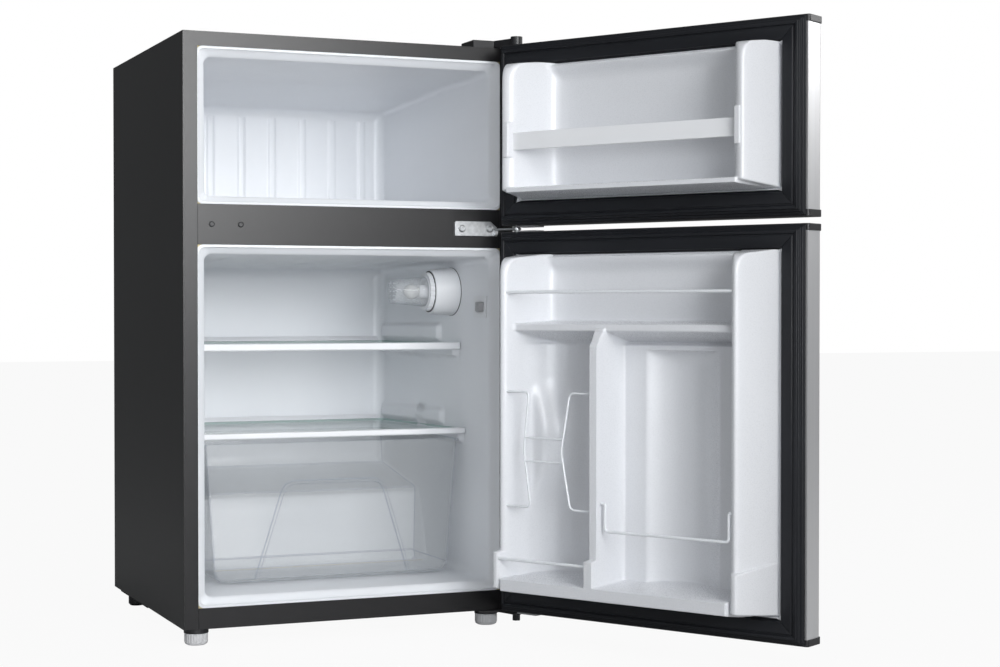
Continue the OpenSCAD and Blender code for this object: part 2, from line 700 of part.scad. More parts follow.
module shelf_trims_at(y0, z, h) {
  difference() {
    union() {
      run_x(-wall_at(y0 + 13) + 1.2, wall_at(y0 + 13) - 1.2) polygon([[y0, z - h + 1.5], [y0 + 1.5, z - h],
        [y0 + 12, z - h], [y0 + 13, z - 5.5], [y0 + 13, z + 1.2], [y0 + 1.5, z + 1.2], [y0, z]]);
      run_x(-wall_at(398) + 12, wall_at(398) - 12) polygon([[386, z - 6], [396, z - 6], [396, z + 6],
        [393.5, z + 7], [386, z + 1.5]]);
    }
    box(-hw, hw, y0 + 1.3, 394.1, z - 4.02, z + 0.02);
    for (s = [-1, 1]) box(s > 0 ? 183 : -230, s > 0 ? 230 : -183, y0 + 9, y0 + 14, z - 12, z - 4);
  }
}

module upper_glass() {
  color([0.75, 0.88, 0.85, 0.5]) place() shelf_glass_at(shelf_y, shelf_z);
}

module upper_trims() {
  color([0.93, 0.93, 0.94]) place() shelf_trims_at(shelf_y, shelf_z, 9.5);
}

module cover_glass() {
  color([0.75, 0.88, 0.85, 0.5]) place() shelf_glass_at(drawer_y - 2, cover_z);
}

module cover_trims() {
  color([0.93, 0.93, 0.94]) place() shelf_trims_at(drawer_y - 2, cover_z, 7.5);
}

// (x, z) outline of the drawer, in by e
module drawer_face(e) {
  b = 71 + e;
  t = 269;
  r = 14 - e;
  w0 = 177 - e;
  w1 = 192 - e;
  polygon(concat([[-w1, t], [-w0 - 1, b + r]],
    [for (a = [180 : 15 : 270]) [-w0 + r + r * cos(a), b + r + r * sin(a)]],
    [for (a = [270 : 15 : 360]) [w0 - r + r * cos(a), b + r + r * sin(a)]],
    [[w0 + 1, b + r], [w1, t]]));
}

// (y, z) outline of the drawer, in by e, stepping up over the machine niche
module drawer_side(e) {
  t = 270 + (e > 0 ? 9 : 0);
  polygon([[drawer_y + e, t], [drawer_y + 5 + e, 70 + e], [208 - e, 70 + e], [229 - e, 86 + e],
    [244 - e, 182 + e], [372 - e, 212 + e], [380 - e, t]]);
}

module drawer_plan(e) {
  w = [201.8 - draft * drawer_y - e, 201.8 - draft * 380 - e];
  polygon([[-w[0], drawer_y], [w[0], drawer_y], [w[1], 380], [-w[1], 380]]);
}

module crisper_drawer() {
  t = 2.2;
  color([0.86, 0.9, 0.92, 0.4]) place() {
    difference() {
      union() {
        intersection() {
          run_y(drawer_y, 380) drawer_face(0);
          run_x(-hw, hw) drawer_side(0);
          run_z(60, 280) drawer_plan(0);
        }
        box(-196, 196, drawer_y + 1, drawer_y + 7, 264.5, 269);
        for (s = [-1, 1]) box(s > 0 ? 190.2 : -194, s > 0 ? 194 : -190.2, drawer_y + 7, 100, 266.5, 269);
      }
      intersection() {
        run_y(drawer_y + t, 380 - t) translate([0, 1]) drawer_face(t);
        run_x(-hw, hw) drawer_side(t);
        run_z(60, 280) drawer_plan(t);
      }
    }
    drawer_ridge();
  }
}

// the raised frame on the drawer's front
module drawer_ridge() {
  lean = atan(5 / 200);
  translate([0, drawer_y + 5.4, 74]) rotate([90 + lean, 0, 0]) linear_extrude(3.6) difference() {
    ridge_outline(0);
    ridge_outline(4.5);
    translate([-150, -5]) square([300, 6]);
  }
}

module ridge_outline(e) {
  polygon([[-120 + e, -3], [-80 + e, 126 - e * 0.4], [-74 + e * 0.8, 135 - e * 0.7], [-63 + e * 0.5, 140 - e],
    [63 - e * 0.5, 140 - e], [74 - e * 0.8, 135 - e * 0.7], [80 - e, 126 - e * 0.4], [120 - e, -3]]);
}

// ---------- doors, drawn shut ----------
module skin_plan(e) {
  y1 = -door_gap;
  y0 = -door_gap - door_t;
  r = 6;
  translate([-hw + e, y0 + r]) square([cab_w - 2 * e, y1 - y0 - r]);
  translate([-hw + r, y0 + e]) square([cab_w - 2 * r, r]);
  for (s = [-1, 1]) translate([s * (hw - r), y0 + r]) circle(r = r - e);
}

module door_skin(z) {
  difference() {
    run_z(z[0] + cap_h, z[1] - cap_h) skin_plan(0);
    run_z(z[0], z[1]) difference() {
      skin_plan(0.8);
      translate([-hw - 1, -door_gap - 0.8]) square([13, 2]);
      translate([hw - 12, -door_gap - 0.8]) square([13, 2]);
    }
  }
}

module cap_plan() {
  y0 = -door_gap - door_t - cap_over;
  r = 7;
  translate([-hw - cap_over, y0 + r]) square([cab_w + 2 * cap_over, door_t + cap_over - r - 4]);
  translate([-hw - cap_over + 4, y0 + r]) square([cab_w + 2 * cap_over - 8, door_t + cap_over - r]);
  translate([-hw - cap_over + r, y0]) square([cab_w + 2 * cap_over - 2 * r, r]);
  for (s = [-1, 1]) {
    translate([s * (hw + cap_over - r), y0 + r]) circle(r = r);
    translate([s * (hw + cap_over - 4), -door_gap - 4]) circle(r = 4);
  }
}

// top = 1 for the cap on a door's upper end, 0 for the lower end
module door_cap(z, top) {
  z0 = top == 1 ? z[1] - cap_h : z[0];
  difference() {
    run_z(z0, z0 + cap_h) cap_plan();
    translate([pin_x, pin_y, z0 - 1]) cylinder(h = cap_h + 2, r = bore_r, $fn = 32);
    // the inside is hollow, open towards the door's foam
    box(-hw + 6, hw - 24, -door_gap - door_t + 4, -door_gap - 4, top == 1 ? z0 - 1 : z0 + 3,
      top == 1 ? z0 + cap_h - 3 : z0 + cap_h + 1);
  }
}

module gasket_ring(z, m0, m1, n0, n1) {
  run_y(-door_gap + n0, -door_gap + n1) difference() {
    translate([-hw + m0, z[0] + m0]) square([cab_w - 2 * m0, z[1] - z[0] - 2 * m0]);
    translate([-hw + m1, z[0] + m1]) square([cab_w - 2 * m1, z[1] - z[0] - 2 * m1]);
  }
}

module door_gasket(z) {
  gasket_ring(z, 2, 33, liner_t, 4);
  gasket_ring(z, 11, 30, 4, 8);
  gasket_ring(z, 8.5, 31, 8, 12);
  gasket_ring(z, 8.5, 14, 12, 13.6);
  gasket_ring(z, 16, 31, 12, 13.6);
}

// plan of a side ridge, s = 1 at the hinge, n high, its outer slope from u0 to u1
module ridge_plan(s, n, u1, u2, u3, e) {
  polygon([[s * (hw - 36 - e), -door_gap], [s * (hw - u1 - e), -door_gap + n - e],
    [s * (hw - u2 + e), -door_gap + n - e], [s * (hw - u3 + e), -door_gap]]);
}

// (y, z) profile with a rounded upper end, from a to b, n high
module ridge_end(a, b, n, e) {
  polygon(concat([[-door_gap - 0.01, a + e]],
    [[-door_gap + n, a + 6 + e]],
    [for (t = [0 : 15 : 90]) [-door_gap + n - 27 + (27 - e) * cos(t), b - 27 + (27 - e) * sin(t)]],
    [[-door_gap - 0.01, b - e]]));
}

module freezer_relief(e) {
  z = fz_z;
  for (s = [-1, 1]) intersection() {
    run_z(z[0] + 36, z[1] - 36) ridge_plan(s, ridge_fz, 54, 61, 72, e);
    run_x(-hw, hw) ridge_end(z[0] + 37, z[1] - 35, ridge_fz, e);
  }
  // the pocket's floor
  intersection() {
    run_x(-hw + 37 + e, hw - 37 - e) polygon([[-door_gap, z[0] + 37 + e],
      [-door_gap + ridge_fz - e, z[0] + 42 + e], [-door_gap + ridge_fz - e, z[0] + 52.5 - e],
      [-door_gap, z[0] + 50 - e]]);
    run_z(z[0], z[1]) polygon([[-hw + 36 + e, -door_gap], [-hw + 54 + e, -door_gap + ridge_fz],
      [hw - 54 - e, -door_gap + ridge_fz], [hw - 36 - e, -door_gap]]);
  }
}

module liner_sheet(z) {
  box(-hw + 3, hw - 3, -door_gap + 0.05, -door_gap + liner_t - 0.05, z[0] + 3, z[1] - 3);
}

module freezer_door_liner() {
  z = fz_z;
  zb = z[0] + 88;
  color([0.95, 0.95, 0.96]) swing() {
    difference() {
      union() {
        liner_sheet(z);
        difference() {
          freezer_relief(0);
          freezer_relief(liner_t);
        }
        for (s = [-1, 1]) run_z(zb, zb + 54) polygon([[s * (hw - 60), -door_gap + ridge_fz - 0.5],
          [s * (hw - 66), -door_gap + ridge_fz - 1], [s * (hw - 70), -door_gap + 50],
          [s * (hw - 63.6), -door_gap + 50]]);
      }
      box(-hw + 62, hw - 62, -door_gap + 61.8, -door_gap + 65.7, zb + 12.8, zb + 37.2);
      // hollow behind the relief
      box(-hw + 37.6, hw - 37.6, -door_gap - 1, -door_gap + liner_t + 0.01, z[0] + 38.6, z[0] + 48.4);
      for (s = [-1, 1]) box(s > 0 ? hw - 70.4 : -hw + 37.6, s > 0 ? hw - 37.6 : -hw + 70.4, -door_gap - 1,
        -door_gap + liner_t + 0.01, z[0] + 38.6, z[1] - 38);
    }
  }
}

module freezer_bar() {
  zb = fz_z[0] + 88;
  color([0.95, 0.95, 0.96]) swing() {
    box(-hw + 62.3, hw - 62.3, -door_gap + 62, -door_gap + 65.5, zb + 13, zb + 37);
    box(-hw + 74, hw - 74, -door_gap + 60.6, -door_gap + 62, zb + 13, zb + 15);
    box(-hw + 74, hw - 74, -door_gap + 60.6, -door_gap + 62, zb + 35, zb + 37);
  }
}

div_u0 = 206;
div_z = 130;

module divider_plan(n, u0, e) {
  x = hw - u0;
  polygon([[x + 5 - e, -door_gap], [x - e, -door_gap + n - e], [x - 12.5 + e, -door_gap + n - e],
    [x - 18 + e, -door_gap]]);
}

module fridge_relief(e) {
  z = fg_z;
  zl = z[0] + 433 - 28 - 1;
  for (s = [-1, 1]) {
    intersection() {
      run_z(z[0] + 36, z[1] - 36) ridge_plan(s, ridge_fg, 57, 64, 76, e);
      run_x(-hw, hw) ridge_end(z[0] + 37, z[1] - 35, ridge_fg, e);
    }
    intersection() {
      run_z(z[0] + 36, div_z - e) ridge_plan(s, ridge_low, 52, 60, 77, e);
      run_x(-hw, hw) polygon([[-door_gap, z[0] + 36.5 + e], [-door_gap + 60, z[0] + 40 + e],
        [-door_gap + ridge_low, z[0] + 52 + e], [-door_gap + ridge_low, 150], [-door_gap, 150]]);
    }
  }
  // upper pocket's floor
  run_x(-hw + 62, hw - 62) polygon([[-door_gap, zl - 18.4 + e], [-door_gap + 66 - e, zl + e],
    [-door_gap + 66 - e, zl + 12.4 - e], [-door_gap, zl + 10 - e]]);
  // bottom pocket's floor
  intersection() {
    run_x(-hw + 36 + e, hw - 36 - e) polygon([[-door_gap, z[0] + 36.5 + e], [-door_gap + 60, z[0] + 40 + e],
      [-door_gap + ridge_low - e, z[0] + 45 + e], [-door_gap + ridge_low - e, z[0] + 67 - e],
      [-door_gap, z[0] + 64 - e]]);
    run_z(z[0], z[1]) polygon([[-hw + 36 + e, -door_gap], [-hw + 52 + e, -door_gap + ridge_low],
      [hw - 52 - e, -door_gap + ridge_low], [hw - 36 - e, -door_gap]]);
  }
  // divider between the can column and the bottle column
  intersection() {
    run_z(z[0] + 60, zl + 2 - e) divider_plan(ridge_fg, div_u0 + 5, e);
    run_x(-hw, hw) polygon([[-door_gap - 1, 0], [-door_gap + ridge_fg, 0], [-door_gap + ridge_fg, zl - 24 - e],
      [-door_gap + 66, zl + 2 - e], [-door_gap - 1, zl + 2 - e]]);
  }
  run_z(z[0] + 60, div_z - e) divider_plan(ridge_low, div_u0, e);
}

module fridge_door_liner() {
  z = fg_z;
  color([0.95, 0.95, 0.96]) swing() {
    difference() {
      union() {
        liner_sheet(z);
        difference() {
          fridge_relief(0);
          fridge_relief(liner_t);
        }
      }
      for (s = [-1, 1]) box(s > 0 ? hw - 74 : -hw + 37.6, s > 0 ? hw - 37.6 : -hw + 74, -door_gap - 1,
        -door_gap + liner_t + 0.01, z[0] + 38.4, z[1] - 38);
      box(-hw + 37.6, hw - 37.6, -door_gap - 1, -door_gap + liner_t + 0.01, z[0] + 38.4, z[0] + 62);
      box(-hw + 64, hw - 64, -door_gap - 1, -door_gap + liner_t + 0.01, z[0] + 387.4, z[0] + 412.2);
      box(hw - div_u0 - 21, hw - div_u0 - 2, -door_gap - 1, -door_gap + liner_t + 0.01, z[0] + 62, z[0] + 400);
    }
  }
}

module can_rack() {
  n = -door_gap + 76;
  color([0.92, 0.92, 0.93]) swing() {
    wire([[hw - 65.4, n, 348], [hw - 104, n, 348], [hw - 96, n, 268], [hw - 107, n, 190],
      [hw - 65.4, n, 190]], 1.6);
    wire([[hw - 210.2, n, 348], [hw - 172, n, 348], [hw - 158, n, 268], [hw - 173, n, 190],
      [hw - 210.2, n, 190]], 1.6);
    rod([hw - 97.7, n, 285], [hw - 161, n, 285], 1.5);
    rod([hw - 98.1, n, 253], [hw - 161, n, 253], 1.5);
  }
}

// the retaining rods of the upper pocket and the can column, and the bottle pocket's bent wire
module door_wires() {
  n = -door_gap + 76;
  color([0.92, 0.92, 0.93]) swing() {
    rod([-hw + 65.4, n, 485], [hw - 65.4, n, 485], 2.2);
    rod([hw - 205.3, n + 11, 117], [hw - 61.5, n + 11, 117], 2.2);
    wire([[hw - 224.4, n, 202], [hw - 230, n, 202], [hw - 230, n, 165], [-hw + 71, n, 165],
      [-hw + 71, n, 202], [-hw + 65.4, n, 202]], 2);
  }
}

module slab_foam(z) {
  run_z(z[0] + cap_h + 0.1, z[1] - cap_h - 0.1) intersection() {
    skin_plan(0.9);
    translate([-hw + 1, -100]) square([cab_w - 2, 100 - door_gap - 0.9]);
  }
}

module freezer_door_foam() {
  color([0.9, 0.84, 0.6]) swing() slab_foam(fz_z);
}

module fridge_door_foam() {
  color([0.9, 0.84, 0.6]) swing() slab_foam(fg_z);
}

module freezer_door_skin() {
  color([0.78, 0.78, 0.79]) swing() door_skin(fz_z);
}

module fridge_door_skin() {
  color([0.78, 0.78, 0.79]) swing() door_skin(fg_z);
}

module freezer_top_cap() {
  color([0.07, 0.07, 0.08]) swing() door_cap(fz_z, 1);
}

module freezer_bottom_cap() {
  color([0.07, 0.07, 0.08]) swing() door_cap(fz_z, 0);
}

module fridge_top_cap() {
  color([0.07, 0.07, 0.08]) swing() door_cap(fg_z, 1);
}

module fridge_bottom_cap() {
  color([0.07, 0.07, 0.08]) swing() door_cap(fg_z, 0);
}

module freezer_gasket() {
  color([0.05, 0.05, 0.055]) swing() door_gasket(fz_z);
}

module fridge_gasket() {
  color([0.05, 0.05, 0.055]) swing() door_gasket(fg_z);
}

// grey stop plates beside the pins on the doors' ends
module stop_plate(z0, z1) {
  run_z(z0, z1) rrect(hw - 54, hw - 18, -door_gap - 31, -door_gap - 11, 3);
}

module freezer_stop() {
  color([0.72, 0.72, 0.72]) swing() stop_plate(fz_z[0] - 2.2, fz_z[0]);
}

module fridge_stops() {
  color([0.72, 0.72, 0.72]) swing() {
    stop_plate(fg_z[1], fg_z[1] + 2.2);
    stop_plate(fg_z[0] - 4.4, fg_z[0]);
  }
}

cabinet_wrap();
mullion_rail();
bottom_pan();
niche_panel();
back_panel();
compressor_tray();
freezer_liner();
fridge_liner();
insulation();
evaporator();
condenser();
compressor();
compressor_grommets();
relay_box();
refrigerant_tubes();
drain_tray();
drain_tube();
cord_grommet();
foot_left();
foot_right();
foot_collars();
rear_feet();
top_hinge();
hinge_cover();
mid_hinge();
bottom_hinge();
cabinet_screws();
mid_hinge_screws();
mullion_plugs();
thermostat_housing();
thermostat_switch();
thermostat_dial();
lamp_cover();
lamp_socket();
bulb();
switch_plate();
switch_rocker();
upper_glass();
upper_trims();
cover_glass();
cover_trims();
crisper_drawer();
freezer_door_skin();
freezer_top_cap();
freezer_bottom_cap();
freezer_gasket();
freezer_door_liner();
freezer_door_foam();
freezer_bar();
freezer_stop();
fridge_door_skin();
fridge_top_cap();
fridge_bottom_cap();
fridge_gasket();
fridge_door_liner();
fridge_door_foam();
fridge_stops();
can_rack();
door_wires();
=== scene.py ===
"""The looks of a two-door compact refrigerator-freezer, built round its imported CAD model."""

import json
import math

import bmesh
import bpy
import numpy as np
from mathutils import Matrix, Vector


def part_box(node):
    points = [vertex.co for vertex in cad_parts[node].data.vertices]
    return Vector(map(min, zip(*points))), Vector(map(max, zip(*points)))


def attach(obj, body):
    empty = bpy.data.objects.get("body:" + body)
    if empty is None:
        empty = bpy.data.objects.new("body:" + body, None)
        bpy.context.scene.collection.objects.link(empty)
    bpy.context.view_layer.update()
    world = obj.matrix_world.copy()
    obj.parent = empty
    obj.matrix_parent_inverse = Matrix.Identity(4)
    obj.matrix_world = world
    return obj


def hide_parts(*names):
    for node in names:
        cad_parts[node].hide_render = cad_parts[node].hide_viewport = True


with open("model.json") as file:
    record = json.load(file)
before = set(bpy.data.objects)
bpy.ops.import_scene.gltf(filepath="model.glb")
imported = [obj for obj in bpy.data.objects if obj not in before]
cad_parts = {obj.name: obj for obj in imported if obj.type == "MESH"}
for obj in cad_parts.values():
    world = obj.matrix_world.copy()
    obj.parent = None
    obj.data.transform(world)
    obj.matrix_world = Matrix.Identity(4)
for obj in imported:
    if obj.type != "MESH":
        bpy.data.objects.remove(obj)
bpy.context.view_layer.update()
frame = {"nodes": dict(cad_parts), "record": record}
NODES = frame["nodes"]
BODY_OF = {n: b for b, ns in frame["record"]["behaviour"]["bodies"].items() for n in ns}
JOINTS = {j["name"]: j for j in frame["record"]["behaviour"]["joints"]}

# ---------------------------------------------------------------- frames
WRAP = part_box("cabinet_wrap")
OX, OY = (WRAP[0].x + WRAP[1].x) / 2, WRAP[0].y
HW = (WRAP[1].x - WRAP[0].x) * 500  # half the cabinet's width, mm
PIN = JOINTS["fridge_door_hinge"]["pos_m"]
OPEN = -math.radians(JOINTS["fridge_door_hinge"]["range_deg"][0])
DOOR_GAP = 14.0
FZ_Z = (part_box("freezer_bottom_cap")[0].z * 1000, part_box("freezer_top_cap")[1].z * 1000)
FG_Z = (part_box("fridge_bottom_cap")[0].z * 1000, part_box("fridge_top_cap")[1].z * 1000)


def cab(p):
    """Cabinet millimetres, x from the middle and y back from the front, to metres in the row frame."""
    p = np.asarray(p, float)
    return p / 1000 + np.array([OX, OY, 0.0])


def door(p):
    """Door millimetres (u from the hinge edge, n out of the inner face, z up) to metres, door open."""
    p = np.asarray(p, float)
    x = OX + (HW - p[..., 0]) / 1000 - PIN[0]
    y = OY + (p[..., 1] - DOOR_GAP) / 1000 - PIN[1]
    c, s = math.cos(OPEN), math.sin(OPEN)
    return np.stack([PIN[0] + c * x - s * y, PIN[1] + s * x + c * y, p[..., 2] / 1000], -1)


# ---------------------------------------------------------------- materials
def material(name, color, rough, metal=0.0, vary=0.06, vary_scale=9.0, rough_vary=0.06, bump=0.0,
             bump_scale=600.0, stretch=(1, 1, 1), coat=0.0, transmission=0.0, tint=None, spec=0.5):
    """A procedural material: mottled colour, uneven gloss and a fine surface relief."""
    m = bpy.data.materials.new(name)
    m.use_nodes = True
    nt = m.node_tree
    b = nt.nodes["Principled BSDF"]
    b.inputs["Metallic"].default_value = metal
    b.inputs["IOR"].default_value = 1.5
    b.inputs["Specular IOR Level"].default_value = spec
    b.inputs["Coat Weight"].default_value = coat
    b.inputs["Coat Roughness"].default_value = 0.12
    b.inputs["Transmission Weight"].default_value = transmission
    tc = nt.nodes.new("ShaderNodeTexCoord")
    mp = nt.nodes.new("ShaderNodeMapping")
    mp.inputs["Scale"].default_value = stretch
    nt.links.new(tc.outputs["Object"], mp.inputs["Vector"])
    big = nt.nodes.new("ShaderNodeTexNoise")
    big.inputs["Scale"].default_value = vary_scale
    big.inputs["Detail"].default_value = 4
    nt.links.new(mp.outputs["Vector"], big.inputs["Vector"])
    ramp = nt.nodes.new("ShaderNodeValToRGB")
    second = tint or color
    ramp.color_ramp.elements[0].position = 0.3
    ramp.color_ramp.elements[1].position = 0.7
    ramp.color_ramp.elements[0].color = [c * (1 - vary) for c in second] + [1]
    ramp.color_ramp.elements[1].color = [min(1, c * (1 + vary)) for c in color] + [1]
    nt.links.new(big.outputs["Fac"], ramp.inputs["Fac"])
    nt.links.new(ramp.outputs["Color"], b.inputs["Base Color"])
    fine = nt.nodes.new("ShaderNodeTexNoise")
    fine.inputs["Scale"].default_value = bump_scale
    fine.inputs["Detail"].default_value = 3
    nt.links.new(mp.outputs["Vector"], fine.inputs["Vector"])
    rr = nt.nodes.new("ShaderNodeMapRange")
    rr.inputs["To Min"].default_value = max(0, rough - rough_vary)
    rr.inputs["To Max"].default_value = rough + rough_vary
    nt.links.new(fine.outputs["Fac"], rr.inputs["Value"])
    nt.links.new(rr.outputs["Result"], b.inputs["Roughness"])
    if bump:
        bp = nt.nodes.new("ShaderNodeBump")
        bp.inputs["Strength"].default_value = bump
        bp.inputs["Distance"].default_value = 0.0004
        nt.links.new(fine.outputs["Fac"], bp.inputs["Height"])
        nt.links.new(bp.outputs["Normal"], b.inputs["Normal"])
    return m


def clear_material(name, color, rim, thin, edge, rough, blend=0.35):
    """A clear thin-walled material: it shows more of its own colour where it is seen edge on."""
    m = material(name, color, rough, vary=0.02, rough_vary=0.02, bump=0.02, bump_scale=90)
    nt = m.node_tree
    shader = nt.nodes["Principled BSDF"]
    lw = nt.nodes.new("ShaderNodeLayerWeight")
    lw.inputs["Blend"].default_value = blend
    power = nt.nodes.new("ShaderNodeMath")
    power.operation = "POWER"
    power.inputs[1].default_value = 2.2
    nt.links.new(lw.outputs["Facing"], power.inputs[0])
    mr = nt.nodes.new("ShaderNodeMapRange")
    mr.inputs["To Min"].default_value = thin
    mr.inputs["To Max"].default_value = edge
    nt.links.new(power.outputs["Value"], mr.inputs["Value"])
    nt.links.new(mr.outputs["Result"], shader.inputs["Alpha"])
    tone = nt.nodes.new("ShaderNodeMix")
    tone.data_type = "RGBA"
    face = shader.inputs["Base Color"].links[0].from_socket
    nt.links.new(face, [i for i in tone.inputs if i.name == "A" and i.type == "RGBA"][0])
    [i for i in tone.inputs if i.name == "B" and i.type == "RGBA"][0].default_value = (*rim, 1)
    nt.links.new(power.outputs["Value"], tone.inputs["Factor"])
    nt.links.new([o for o in tone.outputs if o.type == "RGBA"][0], shader.inputs["Base Color"])
    return m


MAT = {
    "charcoal": material("charcoal_paint", (0.0085, 0.008, 0.009), 0.30, vary=0.10, bump=0.22,
                         bump_scale=850, rough_vary=0.05, spec=0.5),
    "dark": material("dark_paint", (0.016, 0.016, 0.017), 0.5, vary=0.15, bump=0.2, bump_scale=500),
    "liner": material("liner_white", (0.855, 0.872, 0.90), 0.30, vary=0.012, bump=0.015, bump_scale=900,
                      rough_vary=0.05),
    # painted shade: the door liners use the cabinet liners' white plastic, made darker to hold down the brightly
    # lit doors
    "door_liner": material("door_liner_white_painted_shade", (0.71, 0.722, 0.75), 0.28, vary=0.012, bump=0.015,
                           bump_scale=900, rough_vary=0.05),
    "trim": material("trim_white", (0.84, 0.85, 0.87), 0.34, vary=0.015, bump=0.04, bump_scale=420),
    "foot": material("foot_white", (0.62, 0.62, 0.63), 0.45, vary=0.05, bump=0.1, bump_scale=500),
    "silver": material("silver_skin", (0.70, 0.70, 0.71), 0.36, metal=0.7, vary=0.03, bump=0.06,
                       bump_scale=160, stretch=(12, 12, 0.25), rough_vary=0.07),
    "cap": material("cap_black", (0.016, 0.016, 0.018), 0.36, vary=0.12, bump=0.12, bump_scale=700),
    "seal": material("seal_rubber", (0.010, 0.011, 0.014), 0.46, vary=0.12, bump=0.1, bump_scale=500,
                     spec=0.3, rough_vary=0.08),
    "grey": material("grey_plastic", (0.42, 0.42, 0.43), 0.42, vary=0.05, bump=0.08, bump_scale=500),
    "foam": material("foam_cream", (0.72, 0.62, 0.36), 0.9, vary=0.12, bump=0.5, bump_scale=300),
    "aluminium": material("cold_plate", (0.72, 0.73, 0.75), 0.38, metal=1.0, vary=0.05, bump=0.15,
                          bump_scale=120, stretch=(1, 1, 8)),
    "copper": material("copper_tube", (0.62, 0.30, 0.17), 0.32, metal=1.0, vary=0.18, bump=0.05,
                       tint=(0.42, 0.20, 0.12)),
    "compressor": material("compressor_enamel", (0.014, 0.014, 0.015), 0.22, vary=0.15, bump=0.08,
                           bump_scale=180, coat=0.3),
    "zinc": material("zinc_plate", (0.50, 0.51, 0.52), 0.38, metal=1.0, vary=0.14, vary_scale=160,
                     bump=0.10, bump_scale=900, rough_vary=0.12),
    "wire": material("wire_white", (0.78, 0.80, 0.83), 0.28, vary=0.03, bump=0.04, bump_scale=900,
                     coat=0.4),
    "glass": clear_material("shelf_glass", (0.80, 0.90, 0.88), (0.66, 0.82, 0.79), 0.10, 0.55, 0.04),
    "glass_edge": clear_material("shelf_glass_edge", (0.42, 0.66, 0.60), (0.35, 0.58, 0.52), 0.75, 0.95,
                                 0.12),
    "clear": clear_material("clear_plastic", (0.84, 0.87, 0.90), (0.42, 0.46, 0.50), 0.14, 0.70, 0.06),
    "clear_edge": clear_material("clear_plastic_edge", (0.36, 0.40, 0.46), (0.26, 0.30, 0.36), 0.72, 0.95,
                                 0.10),
    "bulb": material("bulb_glass", (0.92, 0.92, 0.90), 0.25, vary=0.02, transmission=0.5),
}


# ---------------------------------------------------------------- pieces
def piece(name, verts, faces, mat, body, smooth, replaces=()):
    """A closed mesh from its points and faces, riding a body."""
    me = bpy.data.meshes.new(name)
    me.from_pydata([tuple(v) for v in verts], [], [tuple(f) for f in faces])
    bm = bmesh.new()
    bm.from_mesh(me)
    bmesh.ops.recalc_face_normals(bm, faces=bm.faces)
    bm.to_mesh(me)
    bm.free()
    return finish_piece(name, me, mat, body, smooth, replaces)


def finish_piece(name, me, mat, body, smooth, replaces=()):
    """Materials, smoothing, body and the CAD nodes it stands for."""
    mats = mat if isinstance(mat, (list, tuple)) else [mat]
    me.materials.clear()
    for m in mats:
        me.materials.append(MAT[m])
    me.shade_smooth()
    me.set_sharp_from_angle(angle=math.radians(smooth))
    ob = bpy.data.objects.new(name, me)
    bpy.context.scene.collection.objects.link(ob)
    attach(ob, body)
    if replaces:
        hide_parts(*replaces)
    return ob


def bevelled(node, mat, width, segments):
    """The CAD node's shape with its edges rounded by width mm; a second material goes on the rounds."""
    src = NODES[node]
    bm = bmesh.new()
    bm.from_mesh(src.data)
    bmesh.ops.remove_doubles(bm, verts=bm.verts, dist=2e-6)
    bmesh.ops.dissolve_limit(bm, angle_limit=math.radians(0.6), verts=bm.verts, edges=bm.edges)
    me = bpy.data.meshes.new(node + "_soft")
    bm.to_mesh(me)
    bm.free()
    ob = finish_piece(node + "_soft", me, mat, BODY_OF[node], 40.0, (node,))
    bv = ob.modifiers.new("bevel", "BEVEL")
    bv.width = width / 1000
    bv.segments = segments
    bv.limit_method = "ANGLE"
    bv.angle_limit = math.radians(28)
    bv.use_clamp_overlap = True
    if isinstance(mat, (list, tuple)):
        bv.material = len(mat) - 1
    wn = ob.modifiers.new("normals", "WEIGHTED_NORMAL")
    wn.keep_sharp = True
    return ob


def paint(node, mat):
    """A better material on a CAD node that keeps its own shape."""
    ob = NODES[node]
    ob.data.materials.clear()
    ob.data.materials.append(MAT[mat])


def smin(a, b, k):
    """The lesser of two values, with the change between them rounded over k."""
    h = np.clip(0.5 + 0.5 * (b - a) / k, 0, 1)
    return b * (1 - h) + a * h - k * h * (1 - h)


def smax(a, b, k):
    return -smin(-np.asarray(a, float), -np.asarray(b, float), k)


def smooth_step(x):
    x = np.clip(x, 0, 1)
    return x * x * (3 - 2 * x)


def window(x, lo, hi, edge):
    """1 between lo and hi, falling to 0 over edge on each side."""
    return smooth_step((x - lo) / edge + 0.5) * smooth_step((hi - x) / edge + 0.5)


def lines(lo, hi, step, marks, fine, reach):
    """Grid lines, closer together near the marks."""
    out = [lo]
    while out[-1] < hi:
        near = min(abs(out[-1] + fine - m) for m in marks)
        out.append(out[-1] + (fine if near < reach else min(step, fine + (near - reach) * 0.5)))
    out[-1] = hi
    return np.array(out)


def relief(name, us, zs, height, z0, mat, body, replaces):
    """A moulded sheet: a height over the door's inner face, closed at the back."""
    uu, zz = np.meshgrid(us, zs)
    nn = height(uu, zz)
    top = np.stack([uu, nn, zz + z0], -1)
    nz, nu = nn.shape
    verts = [door(top).reshape(-1, 3)]
    idx = np.arange(nz * nu).reshape(nz, nu)
    faces = list(np.stack([idx[:-1, :-1], idx[:-1, 1:], idx[1:, 1:], idx[1:, :-1]], -1).reshape(-1, 4))
    rim = np.concatenate([idx[0, :-1], idx[:-1, -1], idx[-1, :0:-1], idx[:0:-1, 0]])
    flat = top.reshape(-1, 3)[rim].copy()
    flat[:, 1] = 0.1
    verts.append(door(flat))
    base = nz * nu + np.arange(len(rim))
    nxt = np.roll(np.arange(len(rim)), -1)
    faces += list(np.stack([rim, rim[nxt], base[nxt], base], -1))
    faces.append(base[::-1])
    return piece(name, np.concatenate(verts), faces, mat, body, 60.0, replaces)


